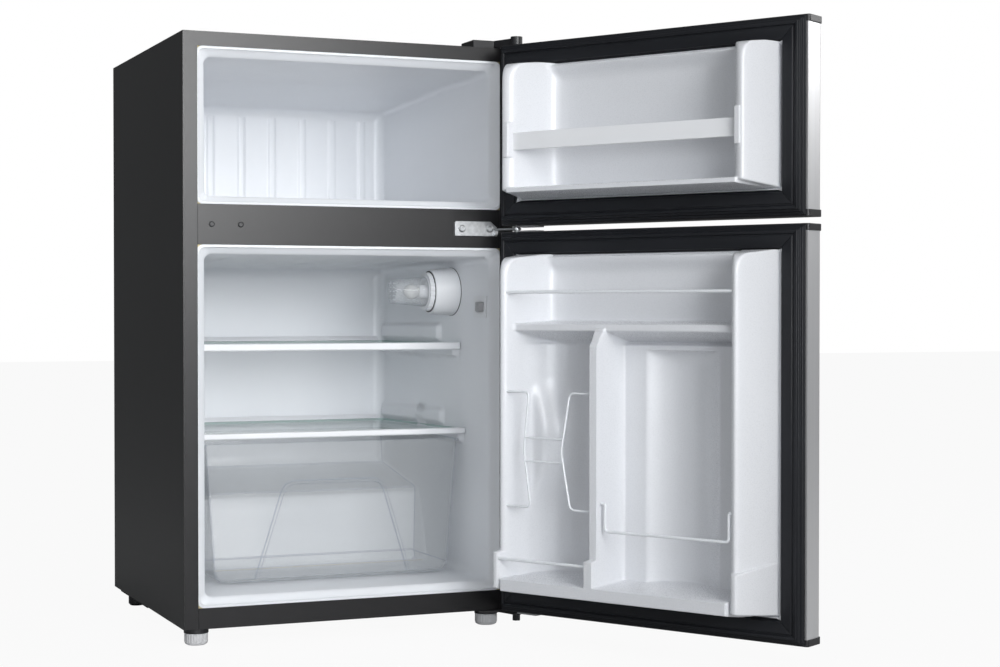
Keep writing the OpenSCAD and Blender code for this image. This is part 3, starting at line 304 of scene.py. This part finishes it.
# ---------------------------------------------------------------- door liners
def ridge(u, z, n, u_out, u_in, foot, z_low, z_high, round_end, k=13.0):
    """A side ridge: steep outside from 36 to u_out, and a long soft slope inside from u_in to foot."""
    outer = (u - 36) * n / (u_out - 36)
    inner = n * (1 - smooth_step((u - u_in) / (foot - u_in))) - np.where(u > foot, (u - foot) * 0.6, 0)
    if round_end:
        t = np.clip(z - (z_high - round_end), 0, round_end)
        cap = n - round_end + np.sqrt(np.maximum(round_end ** 2 - t ** 2, 0))
        cap = np.where(z > z_high, n - round_end - (z - z_high) * 9, cap)
    else:
        cap = np.minimum(n, (z_high - z) * 9 + n * 0.5)
    cap = smin(cap, (z - z_low) * 9, 12)
    return smin(smin(outer, inner, k), cap, 11)


def border(u, z, height):
    """The sheet's upturned edge along the seal."""
    m = np.minimum(np.minimum(u, 490 - u), np.minimum(z, height - z))
    return smin(smin((m - 33.0) * 7, (38.0 - m) * 3.2, 2), 8.6, 1.5)


def freezer_height(u, z):
    h = np.full_like(u, 2.0)
    span = smin((u - 52) * 5, (438 - u) * 5, 4)
    rim = smin(smin((z - 204) * 0.7 + 2, (224 - z) * 4, 4), 13, 4)
    h = smax(h, smin(rim, span, 4), 5)
    shelf = smin(smin((z - 37) * 17, (53 - z) * 17, 5), 75, 2.5)
    h = smax(h, smin(shelf, span * 1.4, 8), 20)
    for v in (u, 490 - u):
        k = 2 + 8 * smooth_step((v - 70) / 20) * window(z, 60, 196, 30)
        h = smax(h, ridge(v, z, 75, 54, 58, 108, 37, 223, 27), k)
        boss = smin(smin(74.4 - (v - 66) * 3, (70.8 - v) * 30, 2), 74.4, 2)
        boss = smin(boss, smin((z - 88) * 25, (142 - z) * 25, 2), 2)
        boss = np.where(v > 58, boss, 0)
        h = smax(h, boss, 1.2)
    return np.clip(np.maximum(h, border(u, z, 258)), 1.7, 75)


def fridge_height(u, z):
    h = np.full_like(u, 2.0)
    below = smooth_step((394 - z) / 10) * smooth_step((z - 44) / 8)
    # the bottle column's back: a flat with a wide channel for a large bottle, closed at its top
    across = 72 - np.sqrt(np.maximum(72 ** 2 - np.clip(u - 320, -58, 58) ** 2, 0))
    up = 27 - np.sqrt(np.maximum(27 ** 2 - np.clip(z - 352, 0, 27) ** 2, 0))
    channel = smin(27, smax(across, up, 8) + 1, 4)
    h = smax(h, channel * window(u, 226, 430, 6) * below, 2)
    # the can column's back: a channel with a waist behind the rack
    waist = window(z, 190, 300, 80)
    reach = 64 - 16 * waist
    mid = 143 + 4 * waist
    can = reach - np.sqrt(np.maximum(reach ** 2 - np.clip(u - mid, -reach, reach) ** 2, 0))
    can = smin(can + 9 * waist, 38, 9)
    h = smax(h, can * window(u, 66, 214, 6) * below, 4)
    span = smin((u - 56) * 6, (434 - u) * 6, 4)
    rim = smin(smin((z - 486) * 0.7 + 2, (510 - z) * 4, 4), 13, 4)
    h = smax(h, smin(rim, span, 4), 5)
    # ledge of the upper pocket
    ledge = smin(smin((z - 386) * 3.6, (417.5 - z) * 16, 4), 66, 2.5)
    h = smax(h, smin(ledge, span, 6), 14)
    # floor of the bottom pocket
    under = smin((z - 36.5) * 17, 58 + (z - 40) * 7, 8)
    floor = smin(smin(under, (67.5 - z) * 17, 8), 93, 6)
    h = smax(h, smin(floor, span * 1.5, 6), 14 + 22 * smooth_step((z - 60) / 8))
    # divider, with a wide hollow into the bottle column
    top = np.where(z > 384, 84 - (z - 384) * 0.7, 84.0)
    top = smin(top, (413 - z) * 12, 8)
    bottle = smooth_step((u - 219) / 6)
    wall = smin((u - 204) * 16, (228 - u) * 13, 8)
    h = smax(h, smin(smin(wall, top, 8), (z - 50) * 12, 6), 12 + 44 * bottle * below)
    wall = smin((u - 200) * 16, (227 - u) * 13, 9)
    h = smax(h, smin(smin(wall, 93, 9), smin((z - 40) * 12, (103 - z) * 9 + 40, 10), 10), 8)
    for v in (u, 490 - u):
        k = 2 + 12 * smooth_step((v - 64) / 16) * window(z, 60, 480, 40)
        h = smax(h, ridge(v, z, 84, 57, 60, 100, 38.5, 506, 27), k)
        h = smax(h, ridge(v, z, 93, 52, 57, 92, 37, 103, 0), 4)
    return np.clip(np.maximum(h, border(u, z, 544)), 1.7, 93)


FREE_EDGE = 33.4  # the liners' outer edge, from the doors' edge
DIKES = [FREE_EDGE, 36, 42, 48, 54, 61, 66, 72, 418, 424, 429, 436, 442, 448, 454, 456.6]
COLUMNS = [204, 212, 218, 226, 262, 381]
FREEZER_LEVELS = [FREE_EDGE, 38, 42, 52, 88, 142, 208, 214, 220, 224.6]
FRIDGE_LEVELS = [FREE_EDGE, 38, 44, 64, 70, 100, 106, 386, 404, 417, 490, 500, 507, 510.6]
relief("freezer_door_liner_form", lines(FREE_EDGE, 456.6, 5, DIKES, 1.1, 7),
       lines(FREE_EDGE, 224.6, 4, FREEZER_LEVELS, 1.1, 6), freezer_height, FZ_Z[0],
       "door_liner", "freezer_door", ("freezer_door_liner",))
relief("fridge_door_liner_form", lines(FREE_EDGE, 456.6, 4, DIKES + COLUMNS, 1.1, 7),
       lines(FREE_EDGE, 510.6, 4, FRIDGE_LEVELS, 1.1, 6), fridge_height, FG_Z[0],
       "door_liner", "fridge_door", ("fridge_door_liner",))


# ---------------------------------------------------------------- cabinet liners
def soft_interp(y, pts, blur):
    """A polyline through the points with its corners rounded over about blur."""
    xs, vs = zip(*pts)
    offs = np.linspace(-1, 1, 9) * blur
    w = 1 - np.abs(np.linspace(-0.9, 0.9, 9))
    return sum(wi * np.interp(y + o, xs, vs) for wi, o in zip(w, offs)) / w.sum()


def tub(name, half, low, high, corner, depth, fillet, side_relief, top_relief, back_relief, replaces):
    """A moulded compartment: rings of a rounded rectangle down its depth, closed by a back wall."""
    ys = list(np.arange(0, 16, 1.3)) + list(np.arange(16, depth - fillet, 3.4))
    rings = [(2.4, -5.0), (0.9, -4.4)] + [(y, 0.0) for y in ys]
    rings += [(depth - fillet + fillet * math.sin(a), fillet * (1 - math.cos(a)))
              for a in np.linspace(0, math.pi / 2, 9)]
    n_side, n_top, n_arc = 150, 150, 7
    if high(0) - low(0) < 300:
        n_side, n_top = 70, 210
    verts = []
    for y, inset in rings:
        w = half(y) - inset
        z0, z1 = low(y) + inset, high(y) - inset
        r = max(corner(y) - inset, 1.5)
        a = np.linspace(-math.pi / 2, 0, n_arc + 2)[1:-1]
        xs = np.linspace(-(w - r), w - r, n_top)
        zs = np.linspace(z0 + r, z1 - r, n_side)
        loop = [np.stack([xs, np.full(n_top, z0)], -1),
                np.stack([w - r + r * np.cos(a), z0 + r + r * np.sin(a)], -1),
                np.stack([w - side_relief(y, zs), zs], -1),
                np.stack([w - r + r * np.cos(a + math.pi / 2), z1 - r + r * np.sin(a + math.pi / 2)], -1),
                np.stack([xs[::-1], z1 - top_relief(y, xs[::-1])], -1),
                np.stack([-(w - r) + r * np.cos(a + math.pi), z1 - r + r * np.sin(a + math.pi)], -1),
                np.stack([-w + side_relief(y, zs[::-1]), zs[::-1]], -1),
                np.stack([-(w - r) + r * np.cos(a + 1.5 * math.pi),
                          z0 + r + r * np.sin(a + 1.5 * math.pi)], -1)]
        loop = np.concatenate(loop)
        verts.append(np.stack([loop[:, 0], np.full(len(loop), y), loop[:, 1]], -1))
    n = len(verts[0])
    faces = []
    for i in range(len(verts) - 1):
        a = np.arange(n) + i * n
        b = np.roll(a, -1)
        faces += list(np.stack([a, b, b + n, a + n], -1))
    verts = np.concatenate(verts)
    # the back wall fills the last ring, from its bottom row to its top row
    last = (len(rings) - 1) * n
    bottom = last + np.arange(n_top)
    right = last + n_top + np.arange(2 * n_arc + n_side)
    top = (last + n_top + 2 * n_arc + n_side + np.arange(n_top))[::-1]
    left = (last + 2 * n_top + 2 * n_arc + n_side + np.arange(2 * n_arc + n_side))[::-1]
    rows = len(right)
    left_p, right_p = verts[left], verts[right]
    grid = [bottom]
    extra = []
    count = len(verts)
    for j in range(rows):
        row = [left[j]]
        t = (j + 1) / (rows + 1)
        for i in range(1, n_top - 1):
            s = i / (n_top - 1)
            p = (1 - s) * left_p[j] + s * right_p[j] + (1 - t) * verts[bottom[i]] + t * verts[top[i]]
            p = p - ((1 - s) * (1 - t) * verts[bottom[0]] + s * (1 - t) * verts[bottom[-1]]
                     + (1 - s) * t * verts[top[0]] + s * t * verts[top[-1]])
            p = p - np.array([0, back_relief(p[0], p[2]), 0])
            extra.append(p)
            row.append(count)
            count += 1
        row.append(right[j])
        grid.append(np.array(row))
    grid.append(top)
    for a, b in zip(grid[:-1], grid[1:]):
        faces += list(np.stack([a[:-1], a[1:], b[1:], b[:-1]], -1))
    verts = np.concatenate([verts, np.array(extra)])
    ob = piece(name, cab(verts), faces, "liner", "cabinet", 60.0, replaces)
    mid_floor = len(rings) // 2 * n + n_top // 2
    if ob.data.polygons[mid_floor].normal.z < 0:  # the faces look into the room, so the sheet grows outward
        ob.data.flip_normals()
    sol = ob.modifiers.new("sheet", "SOLIDIFY")
    sol.thickness = 0.0012
    sol.offset = -1.0
    return ob


DRAFT = 0.0654
WIDTHS = [(-20, 224.6), (1.0, 223.9), (12.5, 212.2), (402, 212.2 - DRAFT * 389.5), (440, 180)]


def half_width(y):
    return soft_interp(y, WIDTHS, 3.5)


def plain(y, v):
    """No relief."""
    return np.zeros_like(v)


def freezer_back(x, z):
    k = round(x / 50.5)
    near = abs(x - k * 50.5)
    if abs(k) > 3:
        return 0.0
    up = float(window(np.array(z), 634, 770, 10))
    return 1.7 * float(smooth_step(np.array((6.6 - near) / 2.6))) * up


def wall_pads(y, z):
    def pad(y0, y1, z0, z1, h, edge=4.0):
        return h * float(window(np.array(y), y0, y1, edge)) * window(z, z0, z1, edge)
    out = pad(114, 388, 390.5, 406.4, 8.6)
    out = np.maximum(out, pad(175, 388, 414.5, 438.0, 6.8, 7))
    out = np.maximum(out, pad(97, 388, 263.0, 278.8, 8.6))
    out = np.maximum(out, pad(165, 388, 287.0, 308.0, 6.8, 7))
    recess = 0.5 * float(window(np.array(y), 106, 379, 3)) * window(z, 317, 386, 3)
    return out - recess


def ceiling_ribs(y, x):
    k = np.round(x / 50.5)
    near = np.abs(x - k * 50.5)
    on = np.where(np.abs(k) <= 3, 1.0, 0.0) * smooth_step((6.5 - near) / 3.5)
    return 1.7 * on * float(window(np.array(y), 100, 372, 10))


FREEZER_FLOOR = [(-20, 607.6), (1.5, 609), (12.5, 617), (396, 622.5), (440, 624)]
FREEZER_CEILING = [(-20, 819.4), (1.5, 818), (12.5, 807.5), (190, 799.0), (396, 782), (440, 780)]
# the fridge's floor climbs over the compressor's niche
HUMP = 200
FRIDGE_FLOOR = [(-20, 53.6), (1.5, 55), (12.5, 65), (224, 69.4), (255.4, 173.6), (402, 210), (440, 220)]
FRIDGE_CEILING = [(-20, 548.4), (1.5, 547), (12.5, 537.4), (394, 526.4), (440, 525)]
tub("freezer_liner_form", half_width,
    lambda y: soft_interp(y, FREEZER_FLOOR, 3.5), lambda y: soft_interp(y, FREEZER_CEILING, 3.5),
    lambda y: 9.0, 402, 14, plain, plain, freezer_back, ("freezer_liner",))
tub("fridge_liner_form", half_width,
    lambda y: soft_interp(y, FRIDGE_FLOOR, 5.0 if y < HUMP else 2.0),
    lambda y: soft_interp(y, FRIDGE_CEILING, 3.5),
    lambda y: 10.0, 402, 16, wall_pads, ceiling_ribs, lambda x, z: 0.0, ("fridge_liner",))


# ---------------------------------------------------------------- door seals
# the seal's section: distance in from the door's edge, and height over the inner face
SEAL = [(1.9, 1.65), (1.9, 3.4), (4.6, 4.2), (5.4, 5.0), (5.7, 8.4), (7.8, 9.0), (8.5, 9.6), (8.7, 12.6),
        (9.6, 13.5), (12.6, 13.5), (13.4, 12.7), (13.7, 11.6), (15.3, 11.6), (15.7, 12.8), (16.6, 13.55),
        (29.6, 13.3), (30.9, 12.6), (31.2, 9.0), (33.2, 7.6), (34.6, 4.6), (35.0, 2.0), (34.0, 1.65)]


def seal(name, z, body, node):
    verts, faces = [], []
    height = z[1] - z[0]
    m = np.array([p[0] for p in SEAL])
    n = np.array([p[1] for p in SEAL])
    k = len(SEAL)
    gap = 0.18  # left open at each mitre
    far = 490.0
    ends = {
        "bottom": ((m + gap, m), (far - m - gap, m)),
        "top": ((m + gap, height - m), (far - m - gap, height - m)),
        "hinge": ((m, m + gap), (m, height - m - gap)),
        "free": ((far - m, m + gap), (far - m, height - m - gap)),
    }
    for a, b in ends.values():
        start = sum(len(v) for v in verts)
        for u, zz in (a, b):
            verts.append(door(np.stack([np.broadcast_to(u, k), n, np.broadcast_to(zz, k) + z[0]], -1)))
        i = np.arange(k)
        j = np.roll(i, -1)
        faces += [tuple(f) for f in np.stack([start + i, start + j, start + k + j, start + k + i], -1)]
        faces += [tuple(start + i[::-1]), tuple(start + k + i)]
    ob = piece(name, np.concatenate(verts), faces, "seal", body, 50.0, (node,))
    bv = ob.modifiers.new("bevel", "BEVEL")
    bv.width, bv.segments, bv.limit_method, bv.angle_limit = 0.0005, 2, "ANGLE", math.radians(30)
    return ob


def ears(name, z, body):
    """The liner's corners, which show through the mitres of the seal."""
    verts, faces = [], []
    height = z[1] - z[0]
    for su in (0, 1):
        for sz in (0, 1):
            start = len(verts)
            shape = [(31.5, 31.5), (39.5, 34.2), (36.4, 36.4), (34.2, 39.5)]
            for n in (2.0, 8.2):
                for m, t in shape:
                    verts.append(door((490 - m if su else m, n, z[0] + (height - t if sz else t))))
            low, high = [start + i for i in range(4)], [start + 4 + i for i in range(4)]
            faces += [tuple(low[::-1]), tuple(high)]
            faces += [(low[i], low[(i + 1) % 4], high[(i + 1) % 4], high[i]) for i in range(4)]
    ob = piece(name, verts, faces, "door_liner", body, 40.0)
    bv = ob.modifiers.new("bevel", "BEVEL")
    bv.width, bv.segments = 0.0006, 2
    return ob


ears("freezer_liner_corners", FZ_Z, "freezer_door")
ears("fridge_liner_corners", FG_Z, "fridge_door")
seal("freezer_seal", FZ_Z, "freezer_door", "freezer_gasket")
seal("fridge_seal", FG_Z, "fridge_door", "fridge_gasket")


# ---------------------------------------------------------------- wires
def wire(name, pts, r, bend):
    """A round wire of radius r on the fridge door, along a polyline with its corners rounded."""
    ring = 14
    pts = [np.array(p, float) for p in pts]
    path = [pts[0]]
    for a, b, c in zip(pts[:-2], pts[1:-1], pts[2:]):
        d0, d1 = (a - b), (c - b)
        l0, l1 = np.linalg.norm(d0), np.linalg.norm(d1)
        t = min(bend, l0 * 0.45, l1 * 0.45)
        p0, p1 = b + d0 / l0 * t, b + d1 / l1 * t
        for s in np.linspace(0, 1, 8):
            path.append((1 - s) ** 2 * p0 + 2 * s * (1 - s) * b + s ** 2 * p1)
    path.append(pts[-1])
    path = np.array(path)
    tang = np.gradient(path, axis=0)
    tang /= np.linalg.norm(tang, axis=1)[:, None]
    up = np.array([0.0, 1.0, 0.0])
    side = np.cross(tang, up)
    side /= np.linalg.norm(side, axis=1)[:, None]
    other = np.cross(side, tang)
    a = np.linspace(0, 2 * math.pi, ring, endpoint=False)
    rings = path[:, None, :] + r * (np.cos(a)[None, :, None] * side[:, None, :]
                                    + np.sin(a)[None, :, None] * other[:, None, :])
    verts = door(rings).reshape(-1, 3)
    faces = []
    i = np.arange(ring)
    j = np.roll(i, -1)
    for s in range(len(path) - 1):
        here, there = s * ring, (s + 1) * ring
        faces += [tuple(f) for f in np.stack([here + i, here + j, there + j, there + i], -1)]
    faces += [tuple(i[::-1]), tuple((len(path) - 1) * ring + i)]
    return piece(name, verts, faces, "wire", "fridge_door", 50.0)


N0 = 76.0  # height of the wires over the door's inner face
rack = [
    wire("can_wire_hinge", [(65.2, N0, 348), (104, N0, 348), (96, N0, 268), (107, N0, 190),
                            (65.2, N0, 190)], 1.6, 8),
    wire("can_wire_mid", [(210.4, N0, 348), (172, N0, 348), (158, N0, 268), (173, N0, 190),
                          (210.4, N0, 190)], 1.6, 8),
    wire("can_wire_cross_a", [(97.6, N0, 285), (161, N0, 285)], 1.5, 1),
    wire("can_wire_cross_b", [(98.0, N0, 253), (161, N0, 253)], 1.5, 1),
]
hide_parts("can_rack")
rods = [
    wire("pocket_rod", [(64.6, N0, 485), (425.4, N0, 485)], 2.2, 1),
    wire("can_rod", [(205.9, N0 + 11, 117), (61.2, N0 + 11, 117)], 2.2, 1),
    wire("bottle_wire", [(224.2, N0, 202), (230, N0, 202), (230, N0, 165), (419, N0, 165),
                         (419, N0, 202), (425, N0, 202)], 2.0, 6),
]
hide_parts("door_wires")

# ---------------------------------------------------------------- rounded copies and plain CAD nodes
bevelled("cabinet_wrap", "charcoal", 1.6, 3)
bevelled("mullion_rail", "charcoal", 0.4, 2)
bevelled("bottom_pan", "charcoal", 0.5, 2)
bevelled("freezer_bar", "trim", 0.6, 2)
for n in ("upper_trims", "cover_trims"):
    bevelled(n, "trim", 0.9, 3)
for n in ("freezer_top_cap", "freezer_bottom_cap", "fridge_top_cap", "fridge_bottom_cap"):
    bevelled(n, "cap", 1.0, 3)
bevelled("crisper_drawer", ["clear", "clear_edge"], 1.2, 3)
bevelled("lamp_cover", ["clear", "clear_edge"], 0.5, 2)
bevelled("thermostat_dial", "trim", 0.4, 2)
bevelled("hinge_cover", "cap", 1.2, 3)
for n in ("mid_hinge", "top_hinge"):
    bevelled(n, "zinc", 0.5, 2)
bevelled("bottom_hinge", "dark", 0.5, 2)
bevelled("thermostat_housing", "trim", 0.8, 3)
bevelled("switch_plate", "trim", 0.5, 2)
bevelled("switch_rocker", "grey", 0.5, 2)
for n in ("freezer_stop", "fridge_stops"):
    bevelled(n, "grey", 0.5, 2)
for n in ("upper_glass", "cover_glass"):
    ob = bevelled(n, ["glass", "glass_edge"], 0.5, 2)
    for f in ob.data.polygons:
        f.material_index = 1 if abs(f.normal.z) < 0.5 else 0

for node, mat in {
    "niche_panel": "dark", "back_panel": "dark", "compressor_tray": "dark", "insulation": "foam",
    "evaporator": "aluminium", "condenser": "copper", "compressor": "compressor", "compressor_grommets": "seal",
    "relay_box": "cap", "refrigerant_tubes": "copper", "drain_tray": "cap", "drain_tube": "cap",
    "cord_grommet": "seal", "foot_left": "foot", "foot_right": "foot", "foot_collars": "cap", "rear_feet": "cap",
    "cabinet_screws": "zinc", "mid_hinge_screws": "zinc", "mullion_plugs": "cap", "thermostat_switch": "grey",
    "lamp_socket": "trim", "bulb": "bulb",
    "freezer_door_skin": "silver", "fridge_door_skin": "silver", "freezer_door_foam": "foam",
    "fridge_door_foam": "foam",
}.items():
    paint(node, mat)


# painted shadow round the thermostat: black rings stand in for the shade behind the dial's grips, and where the
# housing meets the wall
LAMP = ((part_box("lamp_socket")[0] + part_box("lamp_socket")[1]) / 2 - Vector((OX, OY, 0))) * 1000
DIAL = (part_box("thermostat_dial")[1].x - OX) * 1000


# a thin black ring that stands in for shadow in a narrow gap
def shadow_ring(name, r0, r1, x_of, thick):
    a = np.linspace(0, 2 * math.pi, 96, endpoint=False)
    rings = []
    for r, d in ((r0, 0), (r1, 0), (r1, thick), (r0, thick)):
        y, z = LAMP.y + r * np.cos(a), LAMP.z + r * np.sin(a)
        rings.append(np.stack([np.array([x_of(v) for v in y]) - d, y, z], -1))
    n = len(a)
    i = np.arange(n)
    j = np.roll(i, -1)
    faces = []
    for k in range(4):
        m = (k + 1) % 4
        faces += [tuple(f) for f in np.stack([k * n + i, k * n + j, m * n + j, m * n + i], -1)]
    return piece(name, cab(np.concatenate(rings)), faces, "cap", "cabinet", 40.0)


shadow_ring("dial_painted_shadow", 26.6, 31.2, lambda y: DIAL + 0.38, 0.3)
shadow_ring("housing_painted_shadow", 35.7, 36.5, lambda y: half_width(y) + 0.1, 0.9)

# the folded flange's mitres at the top corners
for side in (-1, 1):
    along = np.array([-side, 0, -1.0]) / math.sqrt(2)
    across = np.array([-side, 0, 1.0]) / math.sqrt(2) * 0.22
    start = np.array([side * (HW - 1.4), 0.0, WRAP[1].z * 1000 - 1.4])
    end = start + along * 27.0
    seam = [p + q + np.array([0, y, 0])
            for p in (start, end) for q in (-across, across) for y in (-0.06, 0.25)]
    piece("flange_mitre_" + ("left" if side < 0 else "right"), cab(seam),
          [(0, 2, 3, 1), (4, 5, 7, 6), (0, 4, 6, 2), (1, 3, 7, 5), (0, 1, 5, 4), (2, 6, 7, 3)], "cap",
          "cabinet", 30.0)


# ---------------------------------------------------------------- stage, lights, camera
def floor():
    """A pale floor that the camera sees as nearly white, and that reflects less than it shows."""
    me = bpy.data.meshes.new("floor")
    s = 14.0  # half its side, m
    me.from_pydata([(-s, -s, 0), (s, -s, 0), (s, s, 0), (-s, s, 0)], [], [(0, 1, 2, 3)])
    ob = bpy.data.objects.new("floor", me)
    bpy.context.scene.collection.objects.link(ob)
    m = material("floor_pale", (0.50, 0.50, 0.50), 0.6, vary=0.004)
    nt = m.node_tree
    glow = nt.nodes.new("ShaderNodeEmission")
    glow.inputs["Color"].default_value = (1, 1, 1, 1)
    ray = nt.nodes.new("ShaderNodeLightPath")
    part = nt.nodes.new("ShaderNodeMath")
    part.operation = "MULTIPLY"
    part.inputs[1].default_value = 0.94
    blend = nt.nodes.new("ShaderNodeMixShader")
    nt.links.new(ray.outputs["Is Camera Ray"], part.inputs[0])
    nt.links.new(part.outputs["Value"], blend.inputs["Fac"])
    nt.links.new(nt.nodes["Principled BSDF"].outputs["BSDF"], blend.inputs[1])
    nt.links.new(glow.outputs["Emission"], blend.inputs[2])
    nt.links.new(blend.outputs["Shader"], nt.nodes["Material Output"].inputs["Surface"])
    me.materials.append(m)


def area(name, loc, target, size, power, color=(1, 1, 1)):
    li = bpy.data.lights.new(name, "AREA")
    li.shape = "RECTANGLE"
    li.size, li.size_y = size
    li.energy = power
    li.color = color
    ob = bpy.data.objects.new(name, li)
    ob.location = loc
    ob.rotation_euler = (Vector(target) - Vector(loc)).to_track_quat("-Z", "Y").to_euler()
    bpy.context.scene.collection.objects.link(ob)
    return ob


floor()
area("key", (0.28, -3.15, 1.42), (-0.1, 0.1, 0.42), (1.1, 1.6), 52)
area("fill", (-2.3, -2.3, 1.0), (0.1, 0, 0.42), (1.6, 1.6), 10, (0.95, 0.975, 1.0))
inside = area("inside", (-0.5, -2.7, 0.75), (-0.25, 0.3, 0.45), (0.9, 0.9), 1.7, (0.93, 0.965, 1.0))
inside.data.spread = math.radians(38)
area("right", (2.5, -0.5, 1.5), (0.36, -0.46, 0.6), (1.0, 1.0), 14)
area("top", (0.0, -0.9, 2.7), (0, -0.1, 0.4), (1.8, 1.6), 6)

# a studio that is lighter in front and darker behind, with a white backdrop for the camera
world = bpy.data.worlds.new("studio")
bpy.context.scene.world = world
world.use_nodes = True
wn = world.node_tree
bg = wn.nodes["Background"]
bg.inputs["Color"].default_value = (0.95, 0.975, 1, 1)
bg.inputs["Strength"].default_value = 1.0
where = wn.nodes.new("ShaderNodeTexCoord")
split = wn.nodes.new("ShaderNodeSeparateXYZ")
level = wn.nodes.new("ShaderNodeMapRange")
level.inputs["From Min"].default_value, level.inputs["From Max"].default_value = -0.6, 0.5
level.inputs["To Min"].default_value, level.inputs["To Max"].default_value = 0.32, 0.11
wn.links.new(where.outputs["Generated"], split.inputs["Vector"])
wn.links.new(split.outputs["Y"], level.inputs["Value"])
wn.links.new(level.outputs["Result"], bg.inputs["Strength"])
seen = wn.nodes.new("ShaderNodeBackground")
seen.inputs["Color"].default_value = (1, 1, 1, 1)
seen.inputs["Strength"].default_value = 1.0
mix = wn.nodes.new("ShaderNodeMixShader")
path = wn.nodes.new("ShaderNodeLightPath")
wn.links.new(path.outputs["Is Camera Ray"], mix.inputs["Fac"])
wn.links.new(bg.outputs["Background"], mix.inputs[1])
wn.links.new(seen.outputs["Background"], mix.inputs[2])
wn.links.new(mix.outputs["Shader"], wn.nodes["World Output"].inputs["Surface"])
bpy.context.scene.view_settings.view_transform = "Standard"

cam_data = bpy.data.cameras.new("camera")
cam = bpy.data.objects.new("camera", cam_data)
bpy.context.scene.collection.objects.link(cam)
cam_data.sensor_width = 36.0
cam_data.lens = 68.13
cam_data.shift_x, cam_data.shift_y = 0.0152, 0.0048
cam.location = cab((-872.4, -2531.2, 463.2))
cam.rotation_mode = "XYZ"
cam.rotation_euler = (math.pi / 2 - 0.016, 0.0, -0.401)
cam_data.clip_start, cam_data.clip_end = 0.05, 60
bpy.context.scene.camera = cam
